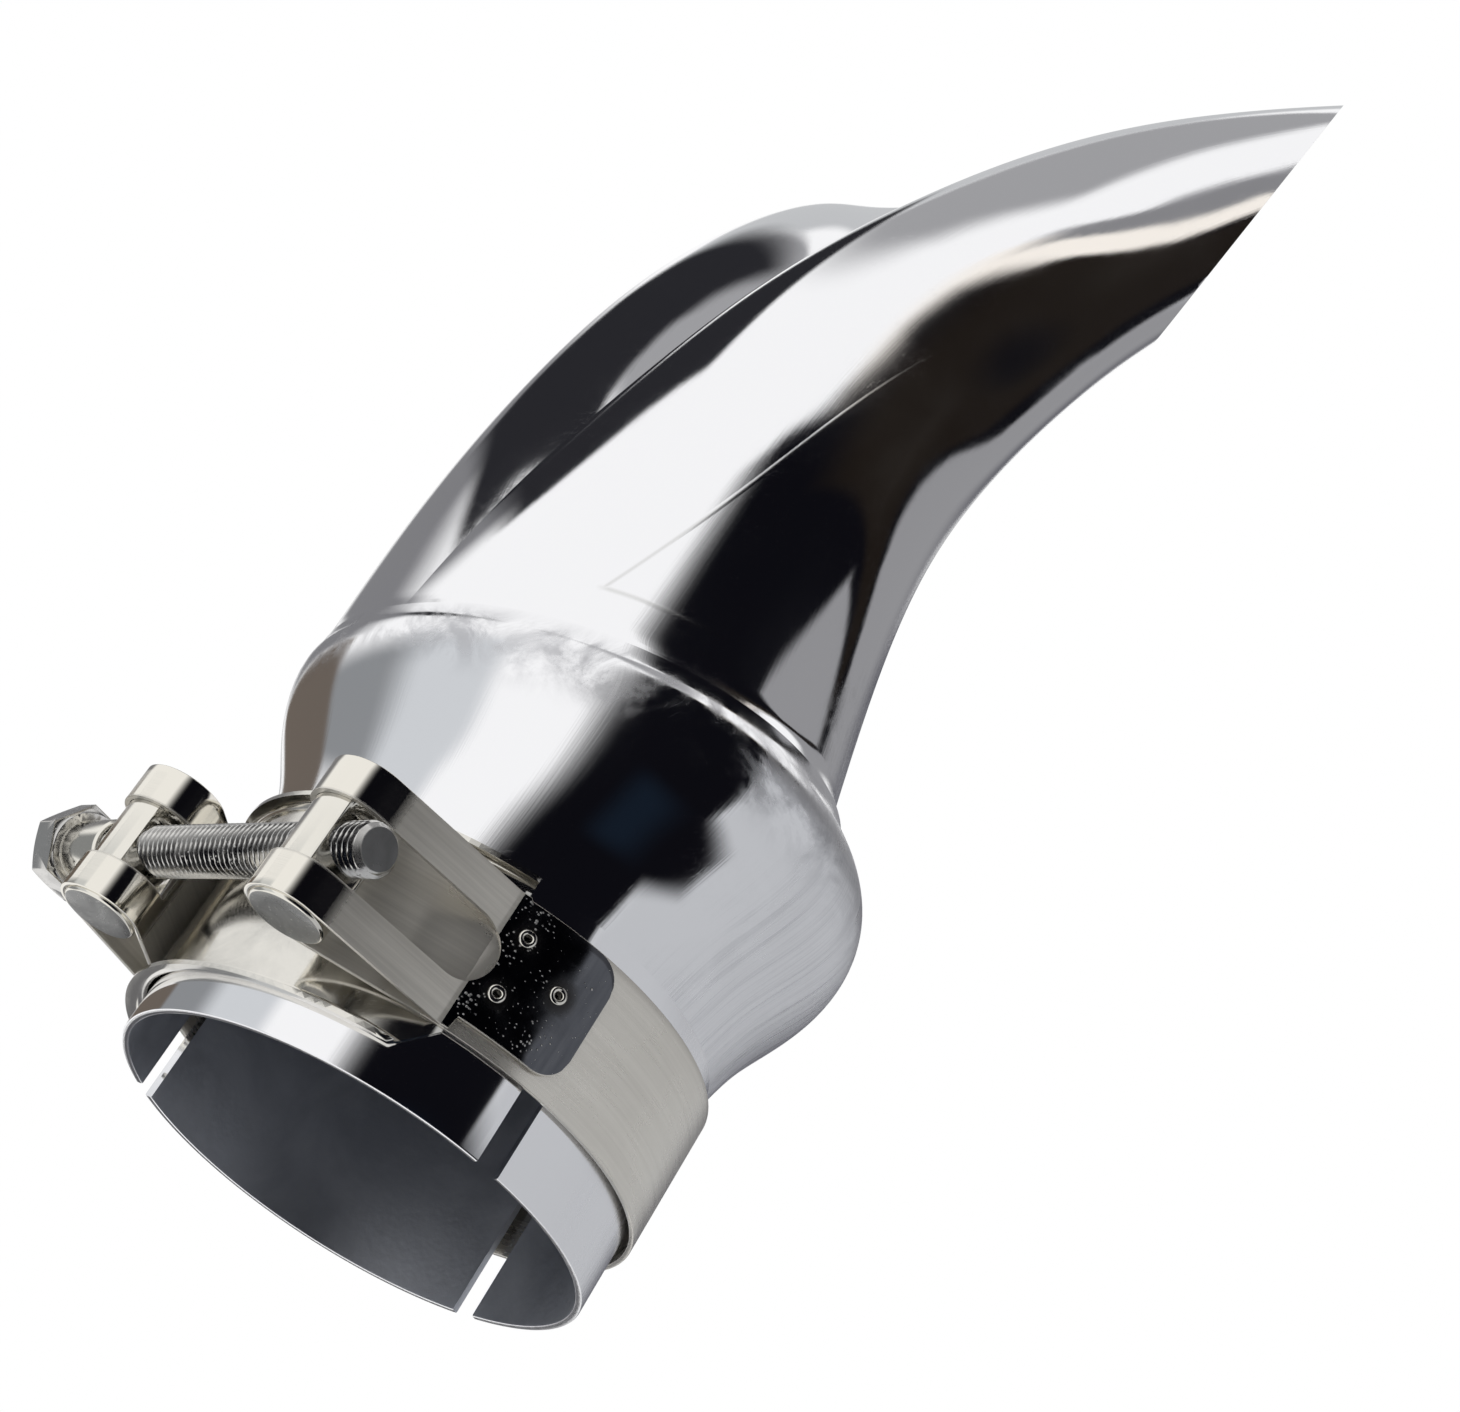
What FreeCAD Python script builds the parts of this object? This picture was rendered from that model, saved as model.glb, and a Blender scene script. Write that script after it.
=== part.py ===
# Exhaust tip: a slotted inlet sleeve, a bulged collector and two curved horns, with a band clamp on the sleeve.
# Frame: origin at the centre of the inlet mouth, +Z up the bore. The horns bend towards +X, at -Y and +Y.
# The clamp's bolt lies at -X and runs along Y, with its head towards +Y.
import FreeCAD, Part
import math
import os

import Sketcher

doc = FreeCAD.newDocument("ExhaustTip")
sheet = doc.addObject("Spreadsheet::Sheet", "Dims")

# Driving sizes in millimetres and degrees
driving = {
    # Sleeve
    "tube_wall": 1.2,
    "inlet_bore": 76.2,
    "sleeve_length": 38.5,
    "slot_width": 4.0,
    "slot_depth": 30.0,
    "slot_turn_1": -98.8,
    "slot_turn_2": 14.3,
    "slot_turn_3": 117.5,
    # Collector sections above the sleeve: height over the sleeve, half width in X, how much wider in Y
    "bulb_low_rise": 8.5,
    "bulb_low_half": 41.0,
    "bulb_low_extra": 2.4,
    "bulb_mid_rise": 20.5,
    "bulb_mid_half": 45.4,
    "bulb_mid_extra": 7.0,
    "bulb_mid_shift": -0.5,
    "bulb_high_rise": 29.5,
    "bulb_high_half": 44.6,
    "bulb_high_extra": 10.3,
    "bulb_high_shift": -3.0,
    "bulb_high_lean": -2.0,
    # Crease between the collector and the horns
    "crease_half": 37.6,
    "crease_extra": 12.8,
    "crease_step": 2.4,
    "crease_lean": -6.0,
    # Horn path: a straight foot from its root, then an arc
    "horn_root_shift": -9.0,
    "horn_root_rise": 71.6,
    "horn_lean": -10.9,
    "horn_foot": 9.2,
    "horn_bend": 199.0,
    "horn_blend": 36.8,
    "horn_length": 177.8,
    "horn_overrun": 8.0,
    # Horn sections from the blend to the tip
    "horn_offset": 12.0,
    "horn_splay": 29.1,
    "horn_flare": 13.4,
    "horn_half": 29.8,
    "horn_taper": 17.6,
    "horn_blend_extra": 6.4,
    "cut_turn": -32.2,
    "cut_drop": 6.3,
    "cut_reach": 70.0,
    # Clamp strap
    "clamp_rise": 23.3,
    "band_width": 23.0,
    "strap_thick": 0.8,
    "layer_gap": 0.1,
    "clamp_gap": 0.3,
    "bend_radius": 2.1,
    "fold_start": 57.0,
    "fold_end": 82.0,
    "fold_width": 20.4,
    "fold_lift": 0.9,
    "fold_corner": 4.5,
    "trim_clear": 2.0,
    "window_width": 10.6,
    "window_margin": 0.6,
    # Bridge plate under the bolt
    "bridge_thick": 0.8,
    "bridge_bottom": 5.6,
    "bridge_top": 37.9,
    "bridge_spread": 116.0,
    "lip_radius": 1.2,
    "lip_length": 0.8,
    "corner_rise": 6.0,
    "corner_run": 5.6,
    # Eyelets and the bridge's rivet
    "eyelet_turn_1": 62.2,
    "eyelet_rise_1": 5.9,
    "eyelet_turn_2": 62.9,
    "eyelet_rise_2": -3.4,
    "eyelet_turn_3": 73.1,
    "eyelet_rise_3": 1.8,
    "eyelet_flange": 1.3,
    "eyelet_height": 0.35,
    "eyelet_half": 0.9,
    "eyelet_bore": 0.55,
    "eyelet_fit": 0.03,
    "rivet_half": 1.5,
    "rivet_shank": 0.7,
    "rivet_height": 0.7,
    "rivet_flat": 0.9,
    "rivet_turn": 50.0,
    "rivet_rise": 9.4,
    # Trunnions, spacer and bolt
    "bolt_reach": 46.0,
    "trunnion_side": 24.2,
    "trunnion_half": 6.0,
    "trunnion_length": 24.0,
    "trunnion_edge": 0.6,
    "trunnion_fit": 0.05,
    "bolt_size": 8.0,
    "bolt_length": 75.0,
    "bolt_tip": 1.0,
    "thread_fit": 0.05,
    "bolt_clearance": 0.2,
    "spacer_length": 9.4,
    "spacer_half": 5.0,
    "spacer_edge": 0.4,
    "seat_gap": 0.05,
    "head_height": 5.3,
    "head_flats": 13.0,
    "head_corner": 0.9,
    "head_chamfer": 30.0,
    "washer_face": 0.4,
    "washer_half": 6.1,
}
for row, (alias, size) in enumerate(driving.items(), start=1):
    sheet.set("A%d" % row, alias)
    sheet.set("B%d" % row, str(size))
    sheet.setAlias("B%d" % row, alias)
doc.recompute()

# Shared expressions of the sheet's values
sleeve_out = "(Dims.inlet_bore / 2 + Dims.tube_wall)"
bridge_in = "(%s + Dims.clamp_gap)" % sleeve_out
band_in = "(%s + Dims.bridge_thick)" % bridge_in
fold_in = "(%s + Dims.strap_thick + Dims.layer_gap)" % band_in
fold_face = "(%s + Dims.strap_thick)" % fold_in
loop_face = "(Dims.trunnion_half + Dims.trunnion_fit + Dims.strap_thick)"


def value(formula):
    return float(sheet.evalExpression(formula))


def bind(item, **formulas):
    for name, formula in formulas.items():
        item.setExpression(name, formula)
    return item


def placed(x="0", y="0", z="0", yaw="0", pitch="0", roll="0"):
    return "placement(vector(%s; %s; %s); rotation(%s; %s; %s))" % (x, y, z, yaw, pitch, roll)


def place(item, *steps, **last):
    # Steps and then the named offsets and turns, each in the frame that the one before it leaves
    item.setExpression("Placement", " * ".join([*steps, placed(**last)]))
    return item


def part(kind, name, **formulas):
    return bind(doc.addObject("Part::" + kind, name), **formulas)


def boolean(kind, name, base, tool):
    item = doc.addObject("Part::" + kind, name)
    item.Base, item.Tool = base, tool
    return item


def joined(name, *shapes):
    item = doc.addObject("Part::MultiFuse", name)
    item.Shapes = list(shapes)
    item.Refine = True
    return item


def plane_of(body, role):
    return next(plane for plane in body.Origin.OriginFeatures if plane.Role == role)


def sketch_on(body, name, role, turn=None):
    # A sketch on one of the body's own planes, turned about the body's Z axis if asked
    sketch = body.newObject("Sketcher::SketchObject", name)
    sketch.AttachmentSupport = [(plane_of(body, role), "")]
    sketch.MapMode = "FlatFace"
    if turn:
        sketch.setExpression("AttachmentOffset", placed(pitch=turn))
    return sketch


def outline(sketch, corners, arcs=None):
    # A closed, fully constrained profile. An arc in place of side i is its radius, centre x, centre y
    # and whether it runs anticlockwise
    arcs = arcs or {}
    points = [FreeCAD.Vector(value(x), value(y), 0) for x, y in corners]
    count = len(points)
    for i in range(count):
        start, end = points[i], points[(i + 1) % count]
        if i in arcs:
            radius, cx, cy, forward = arcs[i]
            centre = FreeCAD.Vector(value(cx), value(cy), 0)
            a, b = (math.atan2(p.y - centre.y, p.x - centre.x) for p in (start, end))
            if not forward:
                a, b = b, a
            circle = Part.Circle(centre, FreeCAD.Vector(0, 0, 1), value(radius))
            sketch.addGeometry(Part.ArcOfCircle(circle, a, b if b > a else b + 2 * math.pi))
        else:
            sketch.addGeometry(Part.LineSegment(start, end))
    first = [2 if i in arcs and not arcs[i][3] else 1 for i in range(count)]
    for i, (x, y) in enumerate(corners):
        before = (i - 1) % count
        now_x, now_y = points[i].x, points[i].y
        sketch.addConstraint(Sketcher.Constraint("Coincident", before, 3 - first[before], i, first[i]))
        for kind, axis, formula, now in (("DistanceX", -2, x, now_x), ("DistanceY", -1, y, now_y)):
            if formula == "0":
                sketch.addConstraint(Sketcher.Constraint("PointOnObject", i, first[i], axis))
            else:
                index = sketch.addConstraint(Sketcher.Constraint(kind, -1, 1, i, first[i], now))
                sketch.setExpression("Constraints[%d]" % index, formula)
    for i, (radius, cx, cy, forward) in arcs.items():
        # Two ends leave an arc's centre free along their bisector, so one coordinate of it settles the arc
        step = points[(i + 1) % count] - points[i]
        kind, formula = ("DistanceY", cy) if abs(step.x) > abs(step.y) else ("DistanceX", cx)
        index = sketch.addConstraint(Sketcher.Constraint(kind, -1, 1, i, 3, value(formula)))
        sketch.setExpression("Constraints[%d]" % index, formula)


def ring_on(sketch, *radii):
    for i, radius in enumerate(radii):
        sketch.addGeometry(Part.Circle(FreeCAD.Vector(0, 0, 0), FreeCAD.Vector(0, 0, 1), value(radius)))
        sketch.addConstraint(Sketcher.Constraint("Coincident", i, 3, -1, 1))
        index = sketch.addConstraint(Sketcher.Constraint("Radius", i, value(radius)))
        sketch.setExpression("Constraints[%d]" % index, radius)


def disc_on(sketch, radius, rise):
    sketch.addGeometry(Part.Circle(FreeCAD.Vector(0, value(rise), 0), FreeCAD.Vector(0, 0, 1), value(radius)))
    sketch.addConstraint(Sketcher.Constraint("PointOnObject", 0, 3, -2))
    for constraint, formula in (
        (Sketcher.Constraint("DistanceY", -1, 1, 0, 3, value(rise)), rise),
        (Sketcher.Constraint("Radius", 0, value(radius)), radius),
    ):
        sketch.setExpression("Constraints[%d]" % sketch.addConstraint(constraint), formula)


def revolved(body, name, corners, arcs=None, spread=None):
    # A profile in the body's XZ plane turned about its Z axis, all round or by a spread centred on +X
    sketch = sketch_on(body, name + "_profile", "XZ_Plane")
    outline(sketch, corners, arcs)
    turned = body.newObject("PartDesign::Revolution", name)
    turned.Profile = sketch
    turned.ReferenceAxis = (sketch, ["V_Axis"])
    turned.Angle = 360
    if spread:
        turned.Midplane = True
        turned.setExpression("Angle", spread)
    return turned


def pocket(body, name, sketch, depth, both_ways=False):
    cut = body.newObject("PartDesign::Pocket", name)
    cut.Profile = sketch
    cut.Midplane = both_ways
    cut.setExpression("Length", depth)
    before = body.Tip.BaseFeature.Shape.Volume if body.Tip.BaseFeature else 0
    doc.recompute()
    if cut.Shape.Volume >= before - 1e-6:
        raise RuntimeError(name + " cuts nothing")
    return cut


# Inlet sleeve: a tube with three slots cut up from its rim
sleeve = doc.addObject("PartDesign::Body", "inlet_sleeve")
ring = sketch_on(sleeve, "sleeve_ring", "XY_Plane")
ring_on(ring, sleeve_out, "Dims.inlet_bore / 2")
tube = sleeve.newObject("PartDesign::Pad", "sleeve_tube")
tube.Profile = ring
bind(tube, Length="Dims.sleeve_length")
doc.recompute()
half_slot = "Dims.slot_width / 2"
slot_round = "Dims.slot_depth - Dims.slot_width / 2"
for number in (1, 2, 3):
    slot = sketch_on(sleeve, "slot_%d_profile" % number, "XZ_Plane", "Dims.slot_turn_%d - 90" % number)
    outline(
        slot,
        [
            ("-" + half_slot, "-Dims.tube_wall"),
            (half_slot, "-Dims.tube_wall"),
            (half_slot, slot_round),
            ("-" + half_slot, slot_round),
        ],
        {2: (half_slot, "0", slot_round, True)},
    )
    pocket(sleeve, "slot_%d" % number, slot, sleeve_out + " + Dims.tube_wall")


# Oval sections for the lofts: the longer axis lies along Y, and a lean turns the section about Y
def section(name, half, extra, x, y, z, lean, inset):
    less = " - Dims.tube_wall" if inset else ""
    oval = part("Ellipse", name, MajorRadius="%s + %s%s" % (half, extra, less), MinorRadius=half + less)
    return place(oval, x=x, y=y, z=z, yaw="90", roll=lean)


def lofted(name, sections):
    body = doc.addObject("Part::Loft", name)
    body.Sections = sections
    body.Solid = True
    return body


lean_sin, lean_cos = "sin(Dims.horn_lean)", "cos(Dims.horn_lean)"
crease = (
    "Dims.crease_half",
    "Dims.crease_extra",
    "Dims.horn_root_shift + Dims.crease_step * " + lean_sin,
    "0",
    "Dims.horn_root_rise + Dims.crease_step * " + lean_cos,
    "Dims.crease_lean",
)

# Collector: round where it meets the sleeve, widest at mid height, drawn in again to the crease
def bulge(level, shift="0", lean="0"):
    rise = "Dims.sleeve_length + Dims.bulb_%s_rise" % level
    return ("Dims.bulb_%s_half" % level, "Dims.bulb_%s_extra" % level, shift, "0", rise, lean)


bulb_sections = [
    (sleeve_out, "0", "0", "0", "Dims.sleeve_length", "0"),
    bulge("low"),
    bulge("mid", "Dims.bulb_mid_shift"),
    bulge("high", "Dims.bulb_high_shift", "Dims.bulb_high_lean"),
    crease,
]
bulb_lofts = []
for inset, label in ((False, "outer"), (True, "inner")):
    ovals = [section("bulb_%s_%d" % (label, i), *oval, inset) for i, oval in enumerate(bulb_sections)]
    bulb_lofts.append(lofted("bulb_" + label, ovals))
bulb = boolean("Cut", "collector_bulb", *bulb_lofts)


# Horn: stations along the path, from the crease to past the mitred tip
def station(share, overrun=""):
    along = "(Dims.horn_blend + (Dims.horn_length - Dims.horn_blend) * %s%s)" % (share, overrun)
    lean = "(Dims.horn_lean + (%s - Dims.horn_foot) / Dims.horn_bend * 180 / pi)" % along
    aside = "Dims.horn_bend * (%s - cos(%s))" % (lean_cos, lean)
    ahead = "Dims.horn_bend * (sin(%s) - %s)" % (lean, lean_sin)
    x = "Dims.horn_root_shift + Dims.horn_foot * %s + %s" % (lean_sin, aside)
    y = "-(Dims.horn_offset + Dims.horn_splay * %s + Dims.horn_flare * %s^2)" % (share, share)
    z = "Dims.horn_root_rise + Dims.horn_foot * %s + %s" % (lean_cos, ahead)
    extra = "Dims.horn_blend_extra" if share == "0" else "0"
    return ("Dims.horn_half - Dims.horn_taper * " + share, extra, x, y, z, lean)


horn_sections = [crease] + [station(share) for share in ("0", "0.25", "0.5", "0.75", "1")]
horn_sections.append(station("1", " + Dims.horn_overrun"))
horn_lofts = []
for inset, label in ((False, "outer"), (True, "inner")):
    ovals = [section("horn_%s_%d" % (label, i), *oval, inset) for i, oval in enumerate(horn_sections)]
    horn_lofts.append(lofted("horn_" + label, ovals))
horn_shell = boolean("Cut", "horn_shell", *horn_lofts)

# Each horn ends on the mid plane, where the two are butt-welded along the valley
long = "Dims.horn_length"
side = part("Box", "horn_side", Length=long, Width=long, Height=long + " * 2")
place(side, x="-Dims.horn_length / 2", y="-Dims.horn_length")
horn_half = boolean("Common", "horn_half", horn_shell, side)

# The mitre passes through the highest point of the end section
end_half, end_extra, end_x, end_y, end_z, end_lean = station("1")
mitre = part("Box", "mitre", Length="Dims.cut_reach", Width="Dims.cut_reach * 2", Height="Dims.cut_reach * 2")
mitre_turn = placed(
    "%s - (%s) * cos(%s)" % (end_x, end_half, end_lean),
    end_y,
    "%s + (%s) * sin(%s)" % (end_z, end_half, end_lean),
    yaw="Dims.cut_turn",
    pitch="Dims.cut_drop",
)
place(mitre, mitre_turn, y="-Dims.cut_reach", z="-Dims.cut_reach")
horn_right = boolean("Cut", "horn_right", horn_half, mitre)
horn_left = doc.addObject("Part::Mirroring", "horn_left")
horn_left.Source = horn_right
horn_left.Normal = FreeCAD.Vector(0, 1, 0)

# Clamp strap: the face line of one half, from +X round the sleeve, about the trunnion and back along itself
path = doc.addObject("Sketcher::SketchObject", "strap_path")
band_low = "Dims.clamp_rise - Dims.band_width / 2"
place(path, z=band_low)
strap_in, fold_out, loop_out, bend = (value(f) for f in (band_in, fold_face, loop_face, "Dims.bend_radius"))
reach, aside = value("Dims.bolt_reach"), value("Dims.trunnion_side")
centre = FreeCAD.Vector(-reach, -aside, 0)
trunnion_turn = math.atan2(aside, reach)
leave_turn = trunnion_turn + math.acos((strap_in + loop_out) / math.hypot(reach, aside))
leave = FreeCAD.Vector(-math.cos(leave_turn), -math.sin(leave_turn), 0)
fold_turn = math.radians(value("Dims.fold_start"))
bend_centre = FreeCAD.Vector(-math.cos(fold_turn), -math.sin(fold_turn), 0) * (fold_out + bend)
between = bend_centre - centre
leg_turn = math.atan2(between.y, between.x) - math.acos((loop_out + bend) / between.Length)
leg = FreeCAD.Vector(math.cos(leg_turn), math.sin(leg_turn), 0)
end_turn = math.radians(180 + value("Dims.fold_end"))
origin, up = FreeCAD.Vector(0, 0, 0), FreeCAD.Vector(0, 0, 1)


def arc(middle, radius, start, end):
    while end <= start:
        end += 2 * math.pi
    return Part.ArcOfCircle(Part.Circle(middle, up, radius), start, end)


def heading(direction):
    return math.atan2(direction.y, direction.x)


band_arc, inner_leg, loop_arc, outer_leg, bend_arc, fold_arc, bend_ray, end_ray = range(8)
path.addGeometry(arc(origin, strap_in, heading(leave), 0))
path.addGeometry(Part.LineSegment(leave * strap_in, centre - leave * loop_out))
path.addGeometry(arc(centre, loop_out, heading(leave * -1), heading(leg)))
path.addGeometry(Part.LineSegment(centre + leg * loop_out, bend_centre - leg * bend))
path.addGeometry(arc(bend_centre, bend, heading(bend_centre * -1), heading(leg * -1)))
path.addGeometry(arc(origin, fold_out, math.pi + fold_turn, end_turn))
end_point = FreeCAD.Vector(math.cos(end_turn), math.sin(end_turn), 0) * fold_out
path.addGeometry(Part.LineSegment(origin, bend_centre), True)
path.addGeometry(Part.LineSegment(origin, end_point), True)
tie = Sketcher.Constraint
path.addConstraint(
    [
        tie("Coincident", band_arc, 3, -1, 1),
        tie("PointOnObject", band_arc, 2, -1),
        tie("Tangent", band_arc, 1, inner_leg, 1),
        tie("Tangent", inner_leg, 2, loop_arc, 1),
        tie("Tangent", loop_arc, 2, outer_leg, 1),
        tie("Tangent", outer_leg, 2, bend_arc, 2),
        tie("Tangent", bend_arc, 1, fold_arc, 1),
        tie("Coincident", fold_arc, 3, -1, 1),
        tie("Coincident", bend_ray, 1, -1, 1),
        tie("Coincident", bend_ray, 2, bend_arc, 3),
        tie("Coincident", end_ray, 1, -1, 1),
        tie("Coincident", end_ray, 2, fold_arc, 2),
    ]
)
for constraint, formula in (
    (tie("Radius", band_arc, strap_in), band_in),
    (tie("Radius", loop_arc, loop_out), loop_face),
    (tie("Radius", bend_arc, bend), "Dims.bend_radius"),
    (tie("Radius", fold_arc, fold_out), fold_face),
    (tie("DistanceX", loop_arc, 3, -1, 1, reach), "Dims.bolt_reach"),
    (tie("DistanceY", loop_arc, 3, -1, 1, aside), "Dims.trunnion_side"),
    (tie("Angle", bend_ray, fold_turn - math.pi), "(Dims.fold_start - 180) * 1 deg"),
    (tie("Angle", end_ray, end_turn - 2 * math.pi), "(Dims.fold_end - 180) * 1 deg"),
):
    path.setExpression("Constraints[%d]" % path.addConstraint(constraint), formula)
doc.recompute()

strip = doc.addObject("Part::Offset2D", "strap_strip")
strip.Source = path
strip.Mode = "Skin"
strip.Fill = True
strip.Join = 2
strip.setExpression("Value", "Dims.strap_thick")
folded = part("Extrusion", "strap_folded", LengthFwd="Dims.band_width")
folded.Base, folded.DirMode, folded.Dir, folded.Solid = strip, "Custom", up, True

# Window for the bolt: through both legs and the loop, with a round end at the foot of the outer leg
window_low = "Dims.clamp_rise - Dims.window_width / 2"
between_layers = "%s + Dims.strap_thick + Dims.layer_gap / 2" % band_in
window_size = {"Length": "Dims.bolt_reach", "Width": "Dims.bolt_reach * 2", "Height": "Dims.window_width"}
loop_distance = "sqrt(Dims.bolt_reach^2 + Dims.trunnion_side^2)"
loop_angle = "atan(Dims.trunnion_side / Dims.bolt_reach)"
leave_angle = "180 + (%s + acos((%s + %s) / %s)) / 1 deg" % (loop_angle, band_in, loop_face, loop_distance)
above_leg = part("Box", "window_outer", **window_size)
place(above_leg, placed(z=window_low, yaw=leave_angle), x=between_layers, y="-Dims.bolt_reach * 2")
round_end = part("Cylinder", "window_round", Radius="Dims.window_width / 2", Height="Dims.bolt_reach * 2")
place(round_end, z="Dims.clamp_rise", yaw=leave_angle, pitch="90")
window_raw = joined("window_raw", above_leg, round_end)
band_core = part("Cylinder", "band_core", Radius=between_layers, Height="Dims.clamp_rise * 2")
window_outer = boolean("Cut", "window_outer_cut", window_raw, band_core)
bolt_way = part("Box", "window_inner", **window_size)
place(
    bolt_way,
    x="-Dims.bolt_reach * 2 + Dims.bolt_size / 2 + Dims.window_margin",
    y="-Dims.bolt_reach * 2",
    z=window_low,
)
window = joined("strap_window", window_outer, bolt_way)
open_half = boolean("Cut", "strap_open", folded, window)

# Trim of the folded end: narrower than the band, with rounded corners
trim_block = part("Box", "trim_block", Length=band_in, Width=fold_face + " * 2", Height="Dims.clamp_rise * 2")
fold_foot = "-%s * cos(Dims.fold_start + Dims.trim_clear)" % fold_face
place(trim_block, x=fold_foot, y="-%s * 2" % fold_face)
trim_ring = boolean("Cut", "trim_ring", trim_block, band_core)
keep = doc.addObject("PartDesign::Body", "trim_keep")
keep_face = sketch_on(keep, "trim_keep_outline", "XZ_Plane")
far = "-%s * 2" % band_in
end_line = "-%s * cos(Dims.fold_end)" % fold_face
before_corner = end_line + " - Dims.fold_corner"
low = "Dims.clamp_rise + Dims.fold_lift - Dims.fold_width / 2"
high = "Dims.clamp_rise + Dims.fold_lift + Dims.fold_width / 2"
low_corner, high_corner = low + " + Dims.fold_corner", high + " - Dims.fold_corner"
outline(
    keep_face,
    [
        (far, low),
        (before_corner, low),
        (end_line, low_corner),
        (end_line, high_corner),
        (before_corner, high),
        (far, high),
    ],
    {
        1: ("Dims.fold_corner", before_corner, low_corner, True),
        3: ("Dims.fold_corner", before_corner, high_corner, True),
    },
)
keep_pad = keep.newObject("PartDesign::Pad", "trim_keep_pad")
keep_pad.Profile = keep_face
bind(keep_pad, Length=fold_face + " * 2")
doc.recompute()
trim = boolean("Cut", "strap_trim", trim_ring, keep)
trimmed = boolean("Cut", "strap_trimmed", open_half, trim)


# Eyelets: three hollow rivets through the doubled end on each side, in a triangle
def radial(item, turn, rise, radius):
    return place(item, placed(z=rise, yaw=turn, pitch="90"), z=radius)


eyelet_spots = [("Dims.eyelet_turn_%d" % i, "Dims.clamp_rise + Dims.eyelet_rise_%d" % i) for i in (1, 2, 3)]
stack = "(Dims.strap_thick * 2 + Dims.layer_gap)"
hole_half = "Dims.eyelet_half + Dims.eyelet_fit"
holes = []
for number, (turn, rise) in enumerate(eyelet_spots, start=1):
    hole = part("Cylinder", "eyelet_hole_%d" % number, Radius=hole_half, Height=stack + " * 2")
    holes.append(radial(hole, "180 + " + turn, rise, "%s - %s / 2" % (band_in, stack)))
drilled = boolean("Cut", "strap_drilled", trimmed, joined("eyelet_holes", *holes))
far_half = doc.addObject("Part::Mirroring", "strap_far_half")
far_half.Source = drilled
far_half.Normal = FreeCAD.Vector(0, 1, 0)
strap = joined("clamp_strap", drilled, far_half)

eyelets = []
for side_name, towards in (("right", "+"), ("left", "-")):
    for number, (turn, rise) in enumerate(eyelet_spots, start=1):
        eyelet = doc.addObject("PartDesign::Body", "eyelet_%s_%d" % (side_name, number))
        revolved(
            eyelet,
            eyelet.Name + "_ring",
            [
                ("Dims.eyelet_bore", "0"),
                ("Dims.eyelet_half", "0"),
                ("Dims.eyelet_half", stack + " + Dims.eyelet_fit"),
                ("Dims.eyelet_flange", stack + " + Dims.eyelet_fit"),
                ("Dims.eyelet_flange", stack + " + Dims.eyelet_height / 2"),
                ("Dims.eyelet_half", stack + " + Dims.eyelet_height"),
                ("Dims.eyelet_bore", stack + " + Dims.eyelet_height"),
            ],
        )
        radial(eyelet, "180 %s %s" % (towards, turn), rise, band_in)
        eyelets.append(eyelet)

# Bridge plate: a saddle under the bolt with both long edges curled outwards
bridge = doc.addObject("PartDesign::Body", "bridge_plate")
lip_in, lip_out = "Dims.lip_radius", "(Dims.lip_radius + Dims.bridge_thick)"
lip_x = "%s + Dims.lip_radius" % band_in
lip_end = lip_x + " + Dims.lip_length"
bottom, top = "Dims.bridge_bottom", "Dims.bridge_top"
revolved(
    bridge,
    "bridge_saddle",
    [
        (bridge_in, "%s + %s" % (bottom, lip_out)),
        (lip_x, bottom),
        (lip_end, bottom),
        (lip_end, bottom + " + Dims.bridge_thick"),
        (lip_x, bottom + " + Dims.bridge_thick"),
        (band_in, "%s + %s" % (bottom, lip_out)),
        (band_in, "%s - %s" % (top, lip_out)),
        (lip_x, top + " - Dims.bridge_thick"),
        (lip_end, top + " - Dims.bridge_thick"),
        (lip_end, top),
        (lip_x, top),
        (bridge_in, "%s - %s" % (top, lip_out)),
    ],
    {
        0: (lip_out, lip_x, "%s + %s" % (bottom, lip_out), True),
        4: (lip_in, lip_x, "%s + %s" % (bottom, lip_out), False),
        6: (lip_in, lip_x, "%s - %s" % (top, lip_out), False),
        10: (lip_out, lip_x, "%s - %s" % (top, lip_out), True),
    },
    "Dims.bridge_spread",
)
doc.recompute()
# One lower corner is cut off at a slant
slant = sketch_on(bridge, "corner_outline", "XZ_Plane", "Dims.bridge_spread / 2 - 90")
outline(
    slant,
    [
        ("-Dims.corner_run", bottom + " - Dims.corner_rise"),
        ("Dims.corner_run * 2", bottom + " - Dims.corner_rise"),
        ("-Dims.corner_run", bottom + " + Dims.corner_rise * 2"),
    ],
)
pocket(bridge, "corner_cut", slant, fold_face + " + Dims.lip_length")
rivet_way = sketch_on(bridge, "rivet_way", "XZ_Plane", "-Dims.rivet_turn - 90")
disc_on(rivet_way, "Dims.rivet_shank", "Dims.rivet_rise")
pocket(bridge, "rivet_hole", rivet_way, fold_face)
place(bridge, yaw="180")

rivet = doc.addObject("PartDesign::Body", "bridge_rivet")
revolved(
    rivet,
    "rivet_dome",
    [
        ("0", "0"),
        ("Dims.rivet_shank - Dims.eyelet_fit", "0"),
        ("Dims.rivet_shank - Dims.eyelet_fit", "Dims.bridge_thick + Dims.eyelet_fit"),
        ("Dims.rivet_half", "Dims.bridge_thick + Dims.eyelet_fit"),
        ("Dims.rivet_flat", "Dims.bridge_thick + Dims.rivet_height"),
        ("0", "Dims.bridge_thick + Dims.rivet_height"),
    ],
)
radial(rivet, "180 - Dims.rivet_turn", "Dims.rivet_rise", bridge_in)

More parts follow.
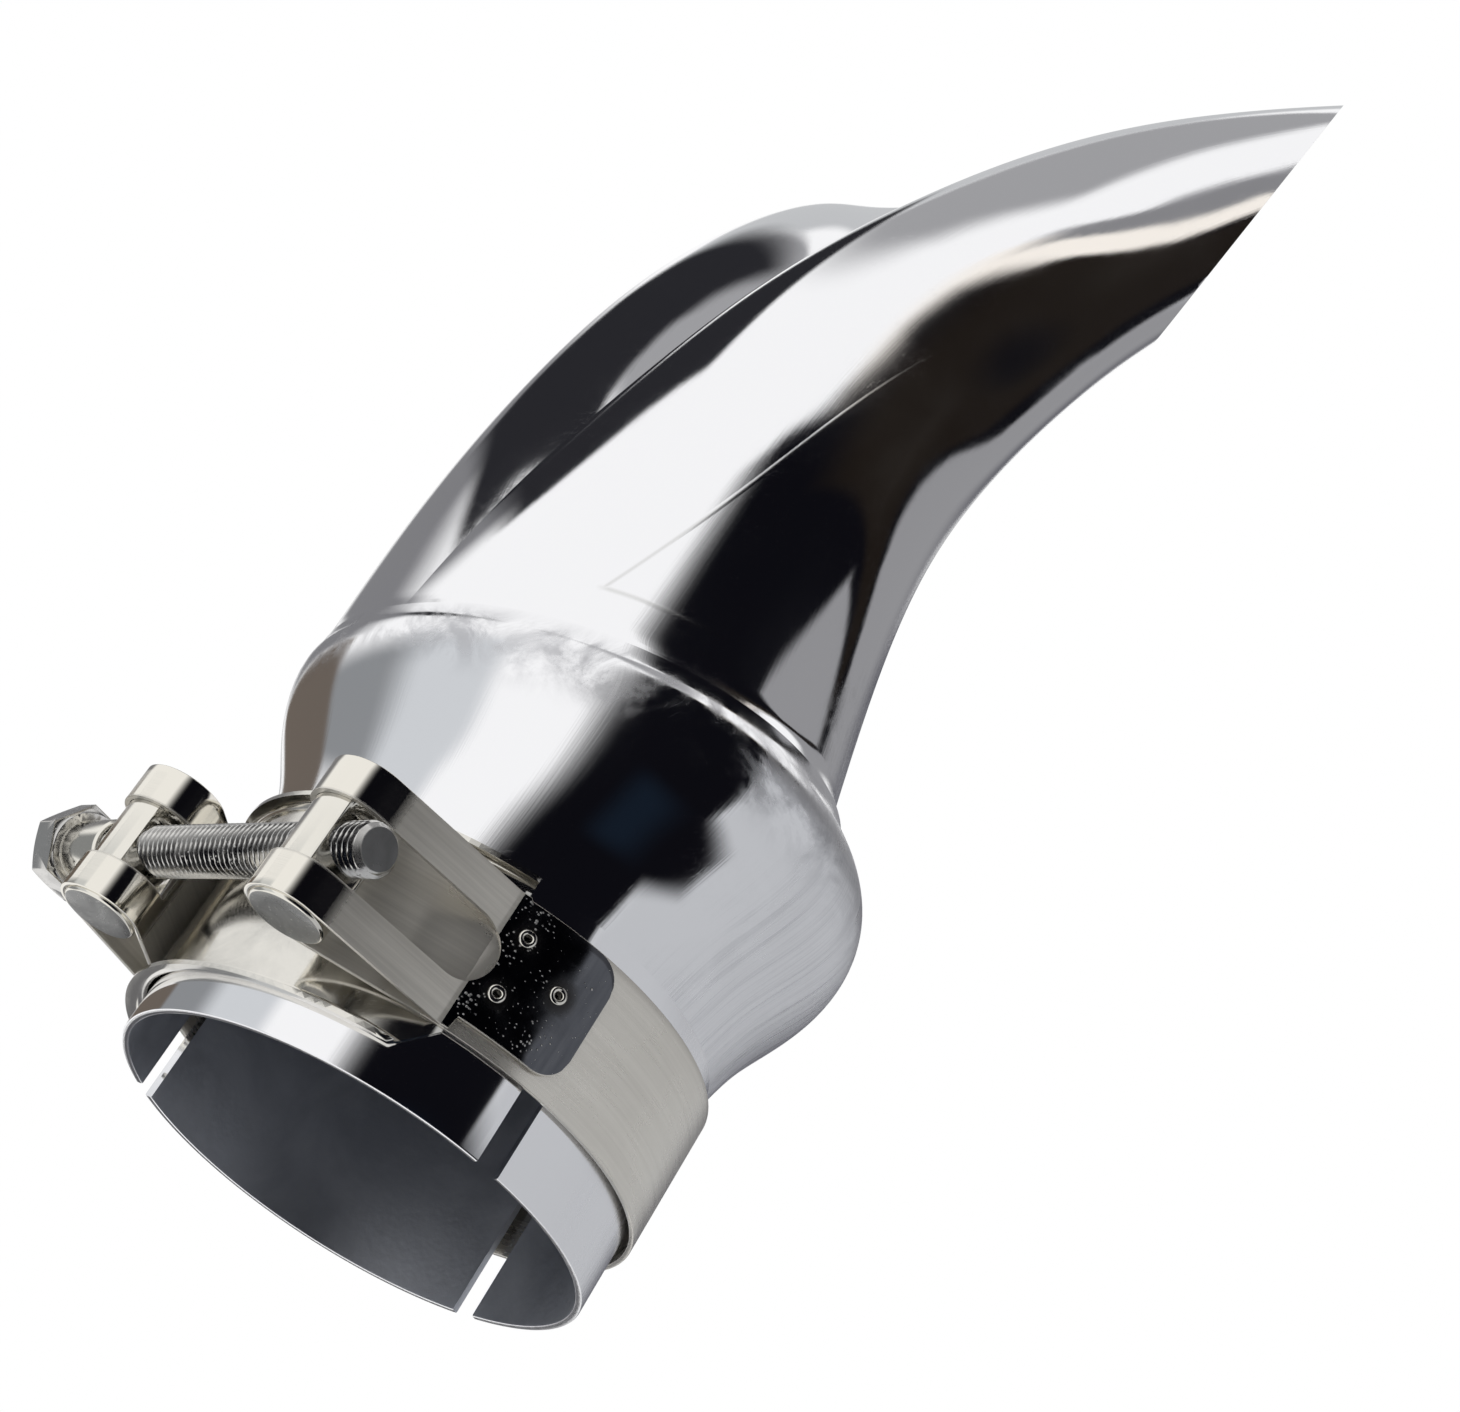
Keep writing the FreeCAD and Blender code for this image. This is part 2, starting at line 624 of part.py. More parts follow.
# Trunnions: two barrels across the strap's loops, one with a clear hole and one tapped
barrel_low = "Dims.clamp_rise - Dims.trunnion_length / 2"
trunnions = []
for name, sign, hole_size in (
    ("threaded_trunnion", "-", "Dims.bolt_size / 2 + Dims.thread_fit"),
    ("plain_trunnion", "", "Dims.bolt_size / 2 + Dims.bolt_clearance"),
):
    barrel = doc.addObject("PartDesign::Body", name)
    revolved(
        barrel,
        name + "_barrel",
        [
            ("0", "0"),
            ("Dims.trunnion_half - Dims.trunnion_edge", "0"),
            ("Dims.trunnion_half", "Dims.trunnion_edge"),
            ("Dims.trunnion_half", "Dims.trunnion_length - Dims.trunnion_edge"),
            ("Dims.trunnion_half - Dims.trunnion_edge", "Dims.trunnion_length"),
            ("0", "Dims.trunnion_length"),
        ],
    )
    doc.recompute()
    cross = sketch_on(barrel, name + "_cross", "XZ_Plane")
    disc_on(cross, hole_size, "Dims.trunnion_length / 2")
    pocket(barrel, name + "_hole", cross, "Dims.trunnion_length", True)
    place(barrel, x="-Dims.bolt_reach", y=sign + "Dims.trunnion_side", z=barrel_low)
    trunnions.append(barrel)

# Spacer between the head and the plain trunnion
spacer = doc.addObject("PartDesign::Body", "bolt_spacer")
spacer_in = "Dims.bolt_size / 2 + Dims.bolt_clearance"
revolved(
    spacer,
    "spacer_ring",
    [
        (spacer_in, "0"),
        ("Dims.spacer_half - Dims.spacer_edge", "0"),
        ("Dims.spacer_half", "Dims.spacer_edge"),
        ("Dims.spacer_half", "Dims.spacer_length - Dims.spacer_edge"),
        ("Dims.spacer_half - Dims.spacer_edge", "Dims.spacer_length"),
        (spacer_in, "Dims.spacer_length"),
    ],
)
spacer_seat = "Dims.trunnion_side + Dims.trunnion_half + Dims.seat_gap"
place(spacer, x="-Dims.bolt_reach", y=spacer_seat, z="Dims.clamp_rise", roll="-90")

# Bolt: a hexagon head with a washer face, its origin under the head
bolt = doc.addObject("PartDesign::Body", "clamp_bolt")
revolved(
    bolt,
    "bolt_shank",
    [
        ("0", "-Dims.bolt_length"),
        ("Dims.bolt_size / 2 - Dims.bolt_tip", "-Dims.bolt_length"),
        ("Dims.bolt_size / 2", "-Dims.bolt_length + Dims.bolt_tip"),
        ("Dims.bolt_size / 2", "0"),
        ("Dims.washer_half", "0"),
        ("Dims.washer_half", "Dims.washer_face"),
        ("0", "Dims.washer_face"),
    ],
)
doc.recompute()
hexagon = sketch_on(bolt, "head_hexagon", "XY_Plane")
hexagon.setExpression("AttachmentOffset", placed(z="Dims.washer_face"))
across = "Dims.head_flats / sqrt(3)"
outline(
    hexagon,
    [
        (across, "0"),
        (across + " / 2", "Dims.head_flats / 2"),
        ("-" + across + " / 2", "Dims.head_flats / 2"),
        ("-" + across, "0"),
        ("-" + across + " / 2", "-Dims.head_flats / 2"),
        (across + " / 2", "-Dims.head_flats / 2"),
    ],
)
head = bolt.newObject("PartDesign::Pad", "bolt_head")
head.Profile = hexagon
bind(head, Length="Dims.head_height - Dims.washer_face")
doc.recompute()
rim = "%s + Dims.head_corner" % across
edge = sketch_on(bolt, "head_edge", "XZ_Plane")
outline(
    edge,
    [
        ("Dims.head_flats / 2", "Dims.head_height"),
        (rim, "Dims.head_height - (%s - Dims.head_flats / 2) * tan(Dims.head_chamfer)" % rim),
        (rim, "Dims.head_height"),
    ],
)
crown = bolt.newObject("PartDesign::Groove", "head_crown")
crown.Profile = edge
crown.ReferenceAxis = (edge, ["V_Axis"])
crown.Angle = 360
bolt_seat = spacer_seat + " + Dims.spacer_length + Dims.seat_gap"
place(bolt, x="-Dims.bolt_reach", y=bolt_seat, z="Dims.clamp_rise", roll="-90")

doc.recompute()
if crown.Shape.Volume >= head.Shape.Volume:
    raise RuntimeError("the head's edge is not cut")
nodes = [sleeve, bulb, horn_right, horn_left, strap, bridge, rivet, *eyelets, *trunnions, spacer, bolt]
for item in doc.Objects:
    if {"Invalid", "Error"} & set(item.State):
        raise RuntimeError(item.Name + " failed: " + str(item.State))
for node in nodes:
    node.Label = node.Name
    if node.Shape.isNull() or not node.Shape.isValid() or len(node.Shape.Solids) != 1:
        raise RuntimeError(node.Label + " is not one valid solid")
os.makedirs("parts", exist_ok=True)
for node in nodes:
    node.Shape.exportStep("parts/%s.step" % node.Label)
    print(node.Label, round(node.Shape.Volume, 1))
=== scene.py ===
import math
from functools import partial, reduce

import bmesh
import bpy
from mathutils import Matrix, Vector


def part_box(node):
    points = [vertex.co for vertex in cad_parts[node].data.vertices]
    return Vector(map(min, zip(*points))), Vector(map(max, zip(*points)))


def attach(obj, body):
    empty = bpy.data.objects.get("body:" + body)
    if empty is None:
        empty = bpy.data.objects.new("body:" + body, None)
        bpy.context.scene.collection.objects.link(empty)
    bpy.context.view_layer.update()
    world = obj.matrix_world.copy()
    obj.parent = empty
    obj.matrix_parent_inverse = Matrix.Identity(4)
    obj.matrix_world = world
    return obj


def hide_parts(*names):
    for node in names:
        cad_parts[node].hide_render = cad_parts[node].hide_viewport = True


print("loading the frame")
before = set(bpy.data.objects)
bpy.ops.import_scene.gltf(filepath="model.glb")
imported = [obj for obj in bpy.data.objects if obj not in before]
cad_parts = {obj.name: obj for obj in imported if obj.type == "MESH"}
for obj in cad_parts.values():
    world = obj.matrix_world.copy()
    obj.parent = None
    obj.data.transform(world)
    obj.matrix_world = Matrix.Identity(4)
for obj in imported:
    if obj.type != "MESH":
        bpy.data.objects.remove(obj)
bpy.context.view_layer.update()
scene = bpy.context.scene
mm = 0.001
acrossX = Matrix.Rotation(math.pi / 2, 4, "Y")  # turns a rod's length from Z to X


# Camera, as it stood for the photograph
camera = {
    "place": (-226.6, -363.7, -132.4),
    "right": (0.5648, -0.6772, 0.4715),
    "up": (-0.6695, -0.0421, 0.7416),
    "forward": (0.4824, 0.7346, 0.4771),
    "focal": 3000,  # in pixels of the frame
    "frameWidth": 1460,
    "sensor": 36,
}


def makeCamera(c):
    data = bpy.data.cameras.new("photoCamera")
    cam = bpy.data.objects.new("photoCamera", data)
    scene.collection.objects.link(cam)
    data.sensor_width = c["sensor"]
    data.lens = c["sensor"] * c["focal"] / c["frameWidth"]
    data.clip_start, data.clip_end = 0.01, 20
    axes = Matrix((c["right"], c["up"], [-v for v in c["forward"]])).transposed()
    cam.matrix_world = Matrix.Translation(Vector(c["place"]) * mm) @ axes.to_4x4()
    scene.camera = cam


makeCamera(camera)
scene.view_settings.view_transform = "Standard"
print("camera set")


# Small tools for meshes
def newObject(name, mesh):
    obj = bpy.data.objects.new(name, mesh)
    scene.collection.objects.link(obj)
    return obj


def shadeSmooth(mesh, angle=35):
    mesh.shade_smooth()
    mesh.set_sharp_from_angle(angle=math.radians(angle))


def addMesh(name, verts, faces, angle=35):
    mesh = bpy.data.meshes.new(name)
    mesh.from_pydata([tuple(v) for v in verts], [], faces)
    mesh.update()
    shadeSmooth(mesh, angle)
    return newObject(name, mesh)


def fromBmesh(name, bm, angle=35):
    mesh = bpy.data.meshes.new(name)
    bm.to_mesh(mesh)
    bm.free()
    shadeSmooth(mesh, angle)
    return newObject(name, mesh)


def evaluated(obj):
    # the object's modifiers made real
    graph = bpy.context.evaluated_depsgraph_get()
    mesh = bpy.data.meshes.new_from_object(obj.evaluated_get(graph))
    old = obj.data
    obj.modifiers.clear()
    obj.data = mesh
    bpy.data.meshes.remove(old)
    return obj


def moved(x, y, z):
    return Matrix.Translation(Vector((x, y, z)) * mm)


def cut(obj, cutter):
    mod = obj.modifiers.new("cut", "BOOLEAN")
    mod.object = cutter
    mod.solver = "EXACT"
    evaluated(obj)
    bpy.data.objects.remove(cutter)


def boxCutter(size, turn):
    bm = bmesh.new()
    bmesh.ops.create_cube(bm, size=1)
    bm.transform(turn @ Matrix.Diagonal((*[v * mm for v in size], 1)))
    return fromBmesh("cutter", bm)


def rodCutter(radius, depth, turn, sides=64):
    bm = bmesh.new()
    size = {"radius1": radius * mm, "radius2": radius * mm, "depth": depth * mm}
    bmesh.ops.create_cone(bm, cap_ends=True, segments=sides, **size)
    bm.transform(turn)
    return fromBmesh("cutter", bm)


def turned(profile, sides=96, turn=Matrix(), name="turned", angle=35):
    # a closed profile of radius and height turned about Z, in millimetres
    bm = bmesh.new()
    rings = []
    turns = [math.tau * i / sides for i in range(sides)]
    for r, z in profile:
        if r < 1e-6:
            rings.append([bm.verts.new((0, 0, z * mm))] * sides)
            continue
        spots = [(r * mm * math.cos(t), r * mm * math.sin(t), z * mm) for t in turns]
        rings.append([bm.verts.new(spot) for spot in spots])
    pairs = list(zip(rings, rings[1:]))
    if profile[0][0] > 1e-6:
        pairs.append((rings[-1], rings[0]))
    for low, high in pairs:
        for i in range(sides):
            n = (i + 1) % sides
            face = list(dict.fromkeys((low[i], low[n], high[n], high[i])))
            if len(face) > 2:
                bm.faces.new(face)
    bmesh.ops.recalc_face_normals(bm, faces=bm.faces[:])
    bm.transform(turn)
    return fromBmesh(name, bm, angle)


def spline(xs, ys):
    # natural cubic through the given stations
    n = len(xs)
    h = [b - a for a, b in zip(xs, xs[1:])]
    low, mid, top, right = ([0.0] * n for _ in range(4))
    mid[0] = mid[-1] = 1.0
    for i in range(1, n - 1):
        low[i], mid[i], top[i] = h[i - 1], 2 * (h[i - 1] + h[i]), h[i]
        right[i] = 6 * ((ys[i + 1] - ys[i]) / h[i] - (ys[i] - ys[i - 1]) / h[i - 1])
    for i in range(1, n):
        share = low[i] / mid[i - 1]
        mid[i] -= share * top[i - 1]
        right[i] -= share * right[i - 1]
    m = [0.0] * n
    for i in range(n - 2, 0, -1):
        m[i] = (right[i] - top[i] * m[i + 1]) / mid[i]

    def at(x):
        i = next((k for k in range(n - 1) if x <= xs[k + 1]), n - 2)
        t, u = x - xs[i], xs[i + 1] - x
        bent = (m[i] * u**3 + m[i + 1] * t**3) / (6 * h[i])
        start, end = ys[i] / h[i] - m[i] * h[i] / 6, ys[i + 1] / h[i] - m[i + 1] * h[i] / 6
        return bent + start * u + end * t

    return at


# Tip: sleeve, collector and horns in millimetres, as the solids have them
tip = {
    "wall": 1.2,
    "bore": 38.1,
    "sleeveLength": 38.5,
    "rim": 0.25,
    "slotWidth": 4.0,
    "slotDepth": 30.0,
    "slotTurns": (-98.8, 14.3, 117.5),
    "slotThrough": 8.0,
    "slotBelow": 4.0,
    "around": 192,
    "collectorRings": 80,
    "hornRings": 170,
    "creaseRound": 7.0,
    "creaseSteps": 8,
}
horn = {
    "root": (-9.0, 71.6),
    "lean": -10.9,
    "creaseUp": 2.4,
    "foot": 9.2,
    "bend": 199.0,
    "blend": 36.8,
    "length": 177.8,
    "overrun": 8.0,
    "offset": (12.0, 29.1, 13.4),
    "half": (29.8, 17.6),
    "blendExtra": 6.4,
    "cutTurn": -32.2,
    "cutDrop": 6.3,
    "cutAbove": 150.0,
}
hornLean = math.radians(horn["lean"])
creaseX = horn["root"][0] + horn["creaseUp"] * math.sin(hornLean)
creaseZ = horn["root"][1] + horn["creaseUp"] * math.cos(hornLean)
# each section: centre x, distance from the mid plane, z, half widths in X and in Y, lean about Y
bulbSections = [
    (0, 0, 38.5, 39.3, 39.3, 0),
    (0, 0, 47.0, 41.0, 43.4, 0),
    (-0.5, 0, 59.0, 45.4, 52.4, 0),
    (-3.0, 0, 68.0, 44.6, 54.9, -2.0),
    (creaseX, 0, creaseZ, 37.6, 50.4, -6.0),
]


def hornStation(share, overrun=0.0):
    c = horn
    along = c["blend"] + (c["length"] - c["blend"]) * share + overrun
    lean = hornLean + (along - c["foot"]) / c["bend"]
    rootX, rootZ = c["root"]
    x = rootX + c["foot"] * math.sin(hornLean) + c["bend"] * (math.cos(hornLean) - math.cos(lean))
    z = rootZ + c["foot"] * math.cos(hornLean) + c["bend"] * (math.sin(lean) - math.sin(hornLean))
    start, splay, flare = c["offset"]
    half = c["half"][0] - c["half"][1] * share
    extra = c["blendExtra"] if share == 0 else 0
    return (x, start + splay * share + flare * share**2, z, half, half + extra, math.degrees(lean))


hornSections = [bulbSections[-1]] + [hornStation(k / 4) for k in range(5)]
hornSections.append(hornStation(1, horn["overrun"]))


def curvesThrough(sections):
    along = [0.0]
    for p, q in zip(sections, sections[1:]):
        along.append(along[-1] + (Vector(q[:3]) - Vector(p[:3])).length)
    return along[-1], [spline(along, [s[k] for s in sections]) for k in range(6)]


bulbLength, bulbCurves = curvesThrough(bulbSections)
hornLength, hornCurves = curvesThrough(hornSections)


def sectionAt(s):
    # s runs from the crease, down the collector below zero and up the horn above it
    window, steps = tip["creaseRound"] - abs(s), tip["creaseSteps"]
    spots = [s + window * (k / steps) for k in range(-steps, steps + 1)] if window > 0 else [s]
    mean = [0.0] * 6
    for spot in spots:
        curves, place = (bulbCurves, bulbLength + spot) if spot < 0 else (hornCurves, spot)
        mean = [m + curve(place) / len(spots) for m, curve in zip(mean, curves)]
    return mean


def skin(stations, inset, both):
    # rings of points with their places on a map, the outer skin's faces pointing outwards
    around = tip["around"]
    bm = bmesh.new()
    layer = bm.loops.layers.uv.new("UVMap")
    rings = []
    for s in stations:
        x, y, z, a, b, lean = sectionAt(s)
        lean = math.radians(lean)
        ring = []
        for i in range(around):
            t = math.tau * i / around
            u, v = (a - inset) * math.cos(t), (b - inset) * math.sin(t)
            aside = (y if v > 0 else -y) if both else -y
            spot = Vector((x + u * math.cos(lean), aside + v, z - u * math.sin(lean)))
            ring.append(bm.verts.new(spot * mm))
        rings.append(ring)
    for j in range(len(rings) - 1):
        for i in range(around):
            n = (i + 1) % around
            face = [rings[j][i], rings[j][n], rings[j + 1][n], rings[j + 1][i]]
            spots = [(i, j), (i + 1, j), (i + 1, j + 1), (i, j + 1)]
            if inset:
                face, spots = face[::-1], spots[::-1]
            made = bm.faces.new(face)
            made.material_index = 1 if inset else 0
            for loop, (p, q) in zip(made.loops, spots):
                loop[layer].uv = (p / around, stations[q] * mm)
    return bm


def openLoops(bm):
    # held in a dict, not a set, so that every run makes the same mesh
    edges = dict.fromkeys(e for e in bm.edges if e.is_boundary)
    loops = []
    while edges:
        loop = [edges.popitem()[0]]
        for e in loop:
            for other in e.verts[0].link_edges[:] + e.verts[1].link_edges[:]:
                if other in edges:
                    del edges[other]
                    loop.append(other)
        loops.append(loop)
    return loops


def shell(name, stations, cuts=(), both=False):
    # outer and inner skins, trimmed by planes, then joined round every open edge
    bm = bmesh.new()
    for inset in (0, tip["wall"]):
        part = skin(stations, inset, both)
        for place, normal, above in cuts:
            near = [f for f in part.faces if f.calc_center_median().z > above]
            geom = [*near, *dict.fromkeys(v for f in near for v in f.verts)]
            geom += dict.fromkeys(e for f in near for e in f.edges)
            plane = {"plane_co": place, "plane_no": normal, "clear_outer": True}
            bmesh.ops.bisect_plane(part, geom=geom, dist=1e-7, **plane)
        mesh = bpy.data.meshes.new("skin")
        part.to_mesh(mesh)
        bm.from_mesh(mesh)
        bpy.data.meshes.remove(mesh)
        part.free()

    def middle(loop):
        return sum((v.co for e in loop for v in e.verts), Vector()) / (2 * len(loop))

    loops = openLoops(bm)
    while loops:
        loop = loops.pop(0)
        other = min(loops, key=lambda o: (middle(o) - middle(loop)).length)
        loops.remove(other)
        bmesh.ops.bridge_loops(bm, edges=loop + other)
    bmesh.ops.recalc_face_normals(bm, faces=bm.faces[:])
    return fromBmesh(name, bm)


def hornCuts():
    x, y, z, half, _, lean = hornStation(1)
    lean = math.radians(lean)
    point = Vector((x - half * math.cos(lean), -y, z + half * math.sin(lean))) * mm
    turn, drop = math.radians(horn["cutTurn"]), math.radians(horn["cutDrop"])
    normal = Vector((math.cos(turn) * math.cos(drop), math.sin(turn) * math.cos(drop), -math.sin(drop)))
    return [(Vector(), Vector((0, 1, 0)), 0), (point, normal, horn["cutAbove"] * mm)]


def mirrored(obj, name):
    copy = newObject(name, obj.data.copy())
    copy.data.transform(Matrix.Scale(-1, 4, (0, 1, 0)))
    copy.data.flip_normals()
    return copy


def inletSleeve():
    c = tip
    inner, outer, top, rim = c["bore"], c["bore"] + c["wall"], c["sleeveLength"], c["rim"]
    profile = [(inner, rim), (inner + rim / 3, rim / 3), (inner + rim, 0)]
    profile += [(outer - rim, 0), (outer - rim / 3, rim / 3), (outer, rim), (outer, top), (inner, top)]
    obj = turned(profile, sides=c["around"], name="inletSleeve")
    end, below = c["slotDepth"] - c["slotWidth"] / 2, c["slotBelow"]
    for turn in c["slotTurns"]:
        spin = Matrix.Rotation(math.radians(turn), 4, "Z")
        middle = spin @ moved(inner, 0, (end - below) / 2)
        cut(obj, boxCutter((c["slotThrough"], c["slotWidth"], end + below), middle))
        cut(obj, rodCutter(c["slotWidth"] / 2, c["slotThrough"], spin @ moved(inner, 0, end) @ acrossX))
    for face in obj.data.polygons:
        r = Vector(face.center[:2]).length / mm
        inwards = face.normal.x * face.center.x + face.normal.y * face.center.y < 0
        inside = r < inner + c["wall"] / 2 and inwards and abs(face.normal.z) < 0.5
        face.material_index = 1 if inside else 0
    shadeSmooth(obj.data)
    return obj


def evenly(start, end, count):
    return [start + (end - start) * k / count for k in range(count + 1)]


sleevePiece = inletSleeve()
bulbPiece = shell("collectorBulb", evenly(-bulbLength, 0, tip["collectorRings"]), both=True)
rightHorn = shell("hornRight", evenly(0, hornLength, tip["hornRings"]), hornCuts())
leftHorn = mirrored(rightHorn, "hornLeft")
print("tip built")


# Clamp strap: one strip from fold to fold, round the sleeve and both trunnions, as the solid runs
strap = {
    "bandIn": 40.4,
    "thick": 0.8,
    "layerGap": 0.1,
    "width": 23.0,
    "rise": 23.3,
    "reach": 46.0,
    "aside": 24.2,
    "loopOut": 6.85,
    "bend": 2.1,
    "foldStart": 57.0,
    "foldEnd": 82.0,
    "trimClear": 2.0,
    "foldWidth": 20.4,
    "foldLift": 0.9,
    "foldCorner": 4.5,
    "windowWidth": 10.6,
    "boltWay": 4.6,  # how far the window stays open inwards of the bolt's axis
    "edge": 0.14,
    "rows": 20,  # divisions across the width
    "legStep": 2.0,
    "bandPolish": 0.35,
    "halo": (3.4, 1.6),  # reach of the worn ring round an eyelet, and its soft edge
    "eyeletHole": 0.9,
    "past": 8.0,  # how far the cutters run past the metal
    "windowOut": 40.0,
}
foldOut = strap["bandIn"] + 2 * strap["thick"] + strap["layerGap"]
eyeletNodes = ["eyelet_%s_%d" % (side, k) for side in ("right", "left") for k in (1, 2, 3)]


def arcPoints(middle, radius, start, end, step, inner):
    # points of an arc in degrees, each with the direction to the metal's side
    count = max(2, round(abs(end - start) / step))
    out = []
    for k in range(count + 1):
        t = math.radians(start + (end - start) * k / count)
        ray = Vector((math.cos(t), math.sin(t)))
        out.append((middle + ray * radius, -ray if inner else ray))
    return out


def subdivided(points, step):
    # more points on the straight runs, so that their finish can change along them
    out = points[:1]
    for (p, n), (q, m) in zip(points, points[1:]):
        count = math.ceil((q - p).length / step)
        out += [(p.lerp(q, k / count), n.lerp(m, k / count).normalized()) for k in range(1, count)]
        out.append((q, m))
    return out


def loopHub():
    # the middle of a loop, and the turn at which its leg leaves the band
    hub = Vector((-strap["reach"], -strap["aside"]))
    past = math.acos((strap["bandIn"] + strap["loopOut"]) / hub.length)
    return hub, math.degrees(math.atan2(strap["aside"], strap["reach"]) + past)


def halfStrap():
    c = strap
    hub, leave = loopHub()
    turn = math.radians(c["foldStart"])
    bendHub = Vector((-math.cos(turn), -math.sin(turn))) * (foldOut + c["bend"])
    between = bendHub - hub
    slant = math.acos((c["loopOut"] + c["bend"]) / between.length)
    leg = math.degrees(math.atan2(between.y, between.x) - slant)
    middle = Vector((0, 0))
    points = arcPoints(middle, c["bandIn"], 360, 180 + leave, 2, False)
    points += arcPoints(hub, c["loopOut"], leave, leg + 360, 3, True)
    points += arcPoints(bendHub, c["bend"], leg + 180, c["foldStart"], 3, False)
    points = subdivided(points, c["legStep"])
    points += arcPoints(middle, foldOut, 180 + c["foldStart"], 180 + c["foldEnd"], 0.5, True)[1:]
    return points


def strapEdges(point, folded):
    # lowest and highest z of the strip at a point; the folded end is narrower with round corners
    c = strap
    low, high = c["rise"] - c["width"] / 2, c["rise"] + c["width"] / 2
    turn = 180 - abs(math.degrees(math.atan2(point.y, point.x)))
    if not folded or turn < c["foldStart"] + c["trimClear"]:
        return low, high
    low, high = (c["rise"] + c["foldLift"] + sign * c["foldWidth"] / 2 for sign in (-1, 1))
    past = c["foldCorner"] + (point.x + point.length * math.cos(math.radians(c["foldEnd"])))
    if past > 0:
        less = c["foldCorner"] - math.sqrt(max(0.0, c["foldCorner"] ** 2 - past**2))
        low, high = low + less, high - less
    return low, high


def haloAt(place):
    # worn, darker metal round each eyelet
    nearest = min((place - spot).length for spot in eyeletSpots) / mm
    reach, soft = strap["halo"]
    return max(0.0, min(1.0, (reach - nearest) / soft))


eyeletSpots = [sum((Vector(end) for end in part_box(node)), Vector()) / 2 for node in eyeletNodes]


def polishAt(point, folded):
    # the loops are rubbed bright, the band less so and the legs least
    hub = Vector((-strap["reach"], math.copysign(strap["aside"], point.y)))
    if (point - hub).length < strap["loopOut"] + 0.5:
        return 1.0
    return strap["bandPolish"] if folded or point.length < strap["bandIn"] + 0.5 else 0.0


def roundedEdge(end, sign):
    # the six points that turn the strip's inner face into its outer one at an end of its width
    thick, edge = strap["thick"], strap["edge"]
    inner = [(edge * (1 - math.cos(t)), end + sign * edge * (1 - math.sin(t))) for t in edgeTurns[1:]]
    outer = [(thick - edge * (1 - math.sin(t)), end + sign * edge * (1 - math.cos(t))) for t in edgeTurns[:3]]
    return inner + outer


edgeTurns = (0, math.pi / 6, math.pi / 3, math.pi / 2)


def clampStrap():
    c = strap
    half = [(p, n, abs(p.length - foldOut) < 1e-4) for p, n in halfStrap()]
    whole = half[::-1] + [(Vector((p.x, -p.y)), Vector((n.x, -n.y)), f) for p, n, f in half[1:]]
    bm = bmesh.new()
    uvs = bm.loops.layers.uv.new("UVMap")
    halo = bm.verts.layers.float.new("halo")
    rubbed = bm.verts.layers.float.new("polish")
    length, rings, runs = 0.0, [], []
    for k, (p, n, folded) in enumerate(whole):
        if k:
            length += (p - whole[k - 1][0]).length
        low, high = strapEdges(p, folded)
        rows = [low + c["edge"] + (high - low - 2 * c["edge"]) * r / c["rows"] for r in range(c["rows"] + 1)]
        ring = [(0, z) for z in rows] + roundedEdge(high, -1)
        ring += [(c["thick"], z) for z in rows[::-1]] + roundedEdge(low, 1)[::-1]
        shine = polishAt(p, folded)
        made = []
        for d, z in ring:
            place = Vector((p.x + n.x * d, p.y + n.y * d, z)) * mm
            v = bm.verts.new(place)
            v[halo] = haloAt(place) if folded else 0.0
            v[rubbed] = shine
            made.append(v)
        rings.append(made)
        runs.append((length, folded))
    size = len(rings[0])
    for k in range(len(rings) - 1):
        for i in range(size):
            n = (i + 1) % size
            face = bm.faces.new((rings[k][i], rings[k + 1][i], rings[k + 1][n], rings[k][n]))
            outerFace = i < c["rows"]
            face.material_index = 1 if runs[k][1] and runs[k + 1][1] and outerFace else 0
            for loop, (row, j) in zip(face.loops, ((k, i), (k + 1, i), (k + 1, n), (k, n))):
                loop[uvs].uv = (runs[row][0] * mm, rings[row][j].co.z)
    bm.faces.new(rings[0])
    bm.faces.new(rings[-1][::-1])
    bmesh.ops.recalc_face_normals(bm, faces=bm.faces[:])
    obj = fromBmesh("clampStrap", bm)
    for cutter in windowCutters():
        cut(obj, cutter)
    for spot in eyeletSpots:
        out = Vector((spot.x, spot.y, 0)).normalized()
        facing = out.to_track_quat("Z", "Y").to_matrix().to_4x4()
        cut(obj, rodCutter(c["eyeletHole"], c["past"], Matrix.Translation(spot) @ facing, 24))
    shadeSmooth(obj.data)
    return obj


def windowCutters():
    c = strap
    leave, run, wide = loopHub()[1], c["reach"], c["windowWidth"]
    out = c["bandIn"] + c["thick"] + c["layerGap"] / 2 + run / 2
    cutters = []
    for side in (1, -1):
        # here X runs outwards at the leg's foot and Y along the leg
        spin = Matrix.Rotation(math.radians(180 + side * leave), 4, "Z")
        cutters.append(boxCutter((run, 2 * run, wide), spin @ moved(out, -side * run, c["rise"])))
        cutters.append(rodCutter(wide / 2, run, spin @ moved(out, 0, c["rise"]) @ acrossX))
    across = moved(c["boltWay"] - run - c["windowOut"] / 2, 0, c["rise"])
    cutters.append(boxCutter((c["windowOut"], 4 * run, wide), across))
    return cutters


# Trunnions: barrels with rounded edges, crossed by the bolt
trunnion = {
    "half": 6.0,
    "length": 24.0,
    "edge": 0.6,
    "flat": 0.55,
    "tapped": 4.05,
    "clear": 4.2,
    "through": 20.0,
}


